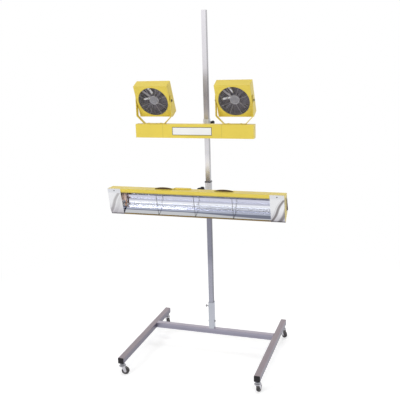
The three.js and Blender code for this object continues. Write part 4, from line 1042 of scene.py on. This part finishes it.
def ring_guard(name, side, stands_for, ring_count, last_ring, wire, ring_at, spoke_at, spoke_end, spoke_turn):
    """Wire rings at one height, on four spokes that cross in the middle."""
    stand = fan_frames[side]
    bm = bmesh.new()
    for i in range(ring_count):
        ring = first_ring + i * (last_ring - first_ring) / (ring_count - 1)
        loop = [(ring + wire * cos(radians(a)), ring_at + wire * sin(radians(a)))
                for a in range(0, 360, 60)]
        turned(bm, loop, 72, stand @ forward)
    for i in range(4):
        angle = spoke_turn + i * pi / 4
        tip = Vector((spoke_end * cos(angle), -spoke_at, spoke_end * sin(angle)))
        rod(bm, stand @ Vector((-tip.x, tip.y, -tip.z)), stand @ tip, 0.001, 10)
    finished(bm, f"{name}_{side}", f"fan_{side}", [guard_grey], stands_for)


for side, stand in fan_frames.items():
    bm = bmesh.new()
    duct_front = face_out - 0.0019
    turned(bm, [(duct, duct_back), (duct, duct_front), (duct + duct_wall, duct_front),
                (duct + duct_wall, duct_back)], 96, stand @ forward)
    # The duct is coloured dark as painted shade.
    finished(bm, f"air_duct_{side}", f"fan_{side}", [duct_painted_shade])

    bm = bmesh.new()
    turned(bm, [(mouth - 0.0012, face_out - 0.0016), (mouth - 0.0012, face_out + 0.0006),
                (mouth - 0.0002, face_out + 0.0012), (mouth + 0.0012, face_out + 0.0012),
                (mouth + 0.0024, face_out), (mouth + 0.0004, face_out - 0.0016)], 96, stand @ forward)
    finished(bm, f"mouth_rim_{side}", f"fan_{side}", [yellow])

    ring_guard("wire_guard", side, [f"fan_guard_{side}"], 11, 0.1005, 0.0008, 0.0108, 0.0092, 0.1015, pi / 8)
    ring_guard("rear_guard", side, (), 17, 0.0993, 0.0009, -0.0515, -0.0499, 0.1005, 0.0)
print("2 guards on each fan")

# %% [markdown]
# The motor hangs in the middle on four flat struts that reach the corners of the box. Its cover is a
# shallow disc with a lighter rim. The rotor turns behind it. A blade starts as a flat grid that is bent
# round the hub and twisted, steeper at its root than at its tip, and gets its thickness last.

# %% Motor and rotor
corner_angle = atan2(0.1042, 0.10745)
blade_count, blade_root, blade_tip = 5, 0.0275, 0.0915


def blade_point(x, y):
    """A point of a blade in the fan's frame: X runs from the root to the tip, and Y along the chord."""
    out, along = x + 0.5, y + 0.5
    radius = blade_root + out * (blade_tip - blade_root)
    chord = (2 * along - 1) * radius * radians(41 - 4 * out)
    lean = radians(31 - 18 * out)
    angle = radians(8 * out) + chord * cos(lean) / radius
    back = 0.030 + chord * sin(lean) - 0.0022 * sin(pi * along)
    return Vector((radius * cos(angle), back, radius * sin(angle)))


for side, stand in fan_frames.items():
    bm = bmesh.new()
    turned(bm, [(0, -0.0052), (0.023, -0.0052), (0.0245, -0.0036), (0.0262, -0.003), (0.0288, -0.003),
                (0.030, -0.0042), (0.030, -0.0108), (0.029, -0.012), (0, -0.012)], 64, stand @ forward)
    for face in bm.faces:
        local = stand.inverted() @ face.calc_center_median()
        face.material_index = int(hypot(local.x, local.z) > 0.0238 and local.y < 0.006)
    for angle in (corner_angle, -corner_angle):
        for half_turn in (0, pi):
            strut = turn(-angle + half_turn, "Y") @ move((0.0855, 0.009, 0)) @ toward_y
            # One of the four struts is painted lit, and the other three are in painted shade.
            pale = angle < 0 and half_turn > 0
            slab(bm, rectangle(0.117, 0.012), 0.003, 0.0008, 2, stand @ strut, 2 if pale else 3)
    turned(bm, [(0, -0.011), (0.004, -0.011), (0.004, -0.0454), (0.0034, -0.046), (0, -0.046)], 24,
           stand @ forward)
    finished(bm, f"motor_{side}", f"fan_{side}", [cover_grey, rim_grey, strut_painted_lit, strut_painted_shade],
             [f"fan_motor_{side}"])

    bm = bmesh.new()
    turned(bm, [(0.0045, -0.018), (0.009, -0.018), (0.009, -0.039), (0.026, -0.039), (0.026, -0.018),
                (0.0275, -0.018), (0.029, -0.0195), (0.029, -0.0405), (0.0275, -0.042), (0.0045, -0.042)], 56,
           stand @ forward)
    for i in range(blade_count):
        blade = bent_grid(bm, 12, 10, blade_point, 0.0014)
        bmesh.ops.transform(bm, matrix=stand @ turn(2 * pi * i / blade_count, "Y"), verts=blade)
    finished(bm, f"rotor_{side}", f"rotor_{side}", [blade_grey], [f"fan_rotor_{side}"], 35)
print(blade_count, "blades on each rotor")

# %% [markdown]
# Each fan hangs in its yoke on two bolts with dark heads, so that it can be tilted.

# %% Pivot bolts
box_half, yoke_half, yoke_sheet, clear = 0.10925, 0.116, 0.003, 0.0003
shank_start, head = box_half - 0.0058, yoke_half + clear
gap_start, gap_end = box_half + clear, yoke_half - yoke_sheet - clear
for side in sides:
    for where, way in (("outer", ways[side]), ("inner", -ways[side])):
        bm = bmesh.new()
        at = fan_frames[side] @ (toward_x if way > 0 else toward_minus_x)
        for radius, low, high in ((0.004, shank_start, yoke_half + 0.001), (0.007, gap_start, gap_end)):
            turned(bm, [(0, low), (radius, low), (radius, high), (0, high)], 24, at)
        slab(bm, ring_of(6, 0.008), 0.004, 0.0005, 2, at @ move((0, 0, shank_start)))
        turned(bm, [(0, head), (0.0082, head), (0.0082, head + 0.0012), (0.007, head + 0.0016),
                    (0.0066, head + 0.0038), (0.0045, head + 0.005), (0, head + 0.0052)], 32, at)
        finished(bm, f"pivot_{side}_{where}", f"fan_{side}", [dark_fastener],
                 [f"fan_pivot_bolt_{side}_{where}"])
print("4 pivot bolts")

# %% [markdown]
# ## Studio
#
# The floor is pale and keeps the shadow near the object, and it brightens to pure white with distance, so
# that no horizon shows. Polished metal sees another room: a nearly white floor with faint patches and a
# ceiling that darkens overhead, as a studio's does, because bright metal only shows what is round it.
# Large soft lamps light the object evenly. They are left out of reflections, where they would burn out to
# white.

# %% Floor
floor_radius, near_glow_level = 14, 0.42
floor_finish, tree, shader = new_material("studio_floor")
bm = bmesh.new()
bmesh.ops.create_circle(bm, cap_ends=True, segments=96, radius=floor_radius)
floor = add_object("studio_floor", mesh_from(bm, "studio_floor", [floor_finish]))


def ways_of_seeing(tree):
    """A mask of what the camera sees, also through glass, and one of what metal mirrors."""
    path = tree.nodes.new("ShaderNodeLightPath").outputs
    seen = math_node(tree, "MAXIMUM", path["Is Camera Ray"], path["Is Transmission Ray"])
    return seen, path["Is Glossy Ray"]


seen, in_metal = ways_of_seeing(tree)
away = vector_node(tree, "LENGTH", object_place(tree))
far = math_node(tree, "MULTIPLY", between(tree, away, 1.0, 2.6), seen)
bands = use(tree, grain, Scale=1.9, Stretch=(0.35, 1.0, 1.0))["Grain"]
patches = between(tree, bands, 0.38, 0.6, 0.92, 1.0)
patches = math_node(tree, "MAXIMUM", patches, between(tree, away, 3.0, 6.0))
lit = math_node(tree, "SUBTRACT", math_node(tree, "SUBTRACT", 1.0, far), in_metal, True)
speckle = math_node(tree, "MULTIPLY", use(tree, mottle, Scale=3.0, Amount=0.03)["Shade"], lit)
feed(tree, shader["Base Color"], vector_node(tree, "SCALE", (0.8, 0.8, 0.8), speckle))
near_glow = math_node(tree, "MULTIPLY", math_node(tree, "SUBTRACT", seen, far), near_glow_level)
mirrored = math_node(tree, "MULTIPLY", patches, in_metal)
glow = math_node(tree, "ADD", math_node(tree, "ADD", near_glow, far), mirrored)
feed(tree, shader["Emission Color"], (1, 1, 1))
feed(tree, shader["Emission Strength"], glow)
shader["Roughness"].default_value = 0.9
shader["Specular IOR Level"].default_value = 0.0
print("floor", 2 * floor_radius, "m across")

# %% Room and lamps
world = bpy.data.worlds.new("studio_room")
bpy.context.scene.world = world
world.use_nodes = True
tree = world.node_tree
height = split(tree, tree.nodes.new("ShaderNodeTexCoord").outputs["Generated"])["Z"]
ceiling = between(tree, height, 0.12, 0.7, 1.0, 0.42, "LINEAR")
seen, in_metal = ways_of_seeing(tree)
shown = math_node(tree, "MAXIMUM", seen, math_node(tree, "MULTIPLY", ceiling, in_metal))
background = tree.nodes["Background"].inputs
feed(tree, background["Color"], (1, 1, 1))
feed(tree, background["Strength"], math_node(tree, "MAXIMUM", shown, 0.5))


def soft_lamp(name, place_at, aim, size, power):
    data = bpy.data.lights.new(name, "AREA")
    data.shape = "RECTANGLE"
    data.size, data.size_y = size
    data.energy = power
    lamp = add_object(name, data)
    lamp.location = place_at
    lamp.rotation_euler = (Vector(aim) - Vector(place_at)).to_track_quat("-Z", "Y").to_euler()
    lamp.visible_glossy = False


soft_lamp("key_lamp", (-2.6, -4.2, 3.4), (0, 0, 1.2), (1.8, 2.4), 95)
soft_lamp("fill_lamp", (3.6, -3.2, 2.2), (0, 0, 1.1), (1.4, 2.4), 45)
soft_lamp("rear_lamp", (1.2, 4.2, 3.6), (0, 0, 1.2), (2.6, 1.6), 60)
soft_lamp("top_lamp", (-0.3, -0.2, 5.2), (0, 0, 1.2), (2.4, 1.6), 34)
bpy.context.scene.view_settings.view_transform = "Standard"
print("4 lamps")

# %% [markdown]
# ## Pieces made
#
# The last cell counts the pieces that were made.

# %% Count of pieces
print("pieces made:", len(made))
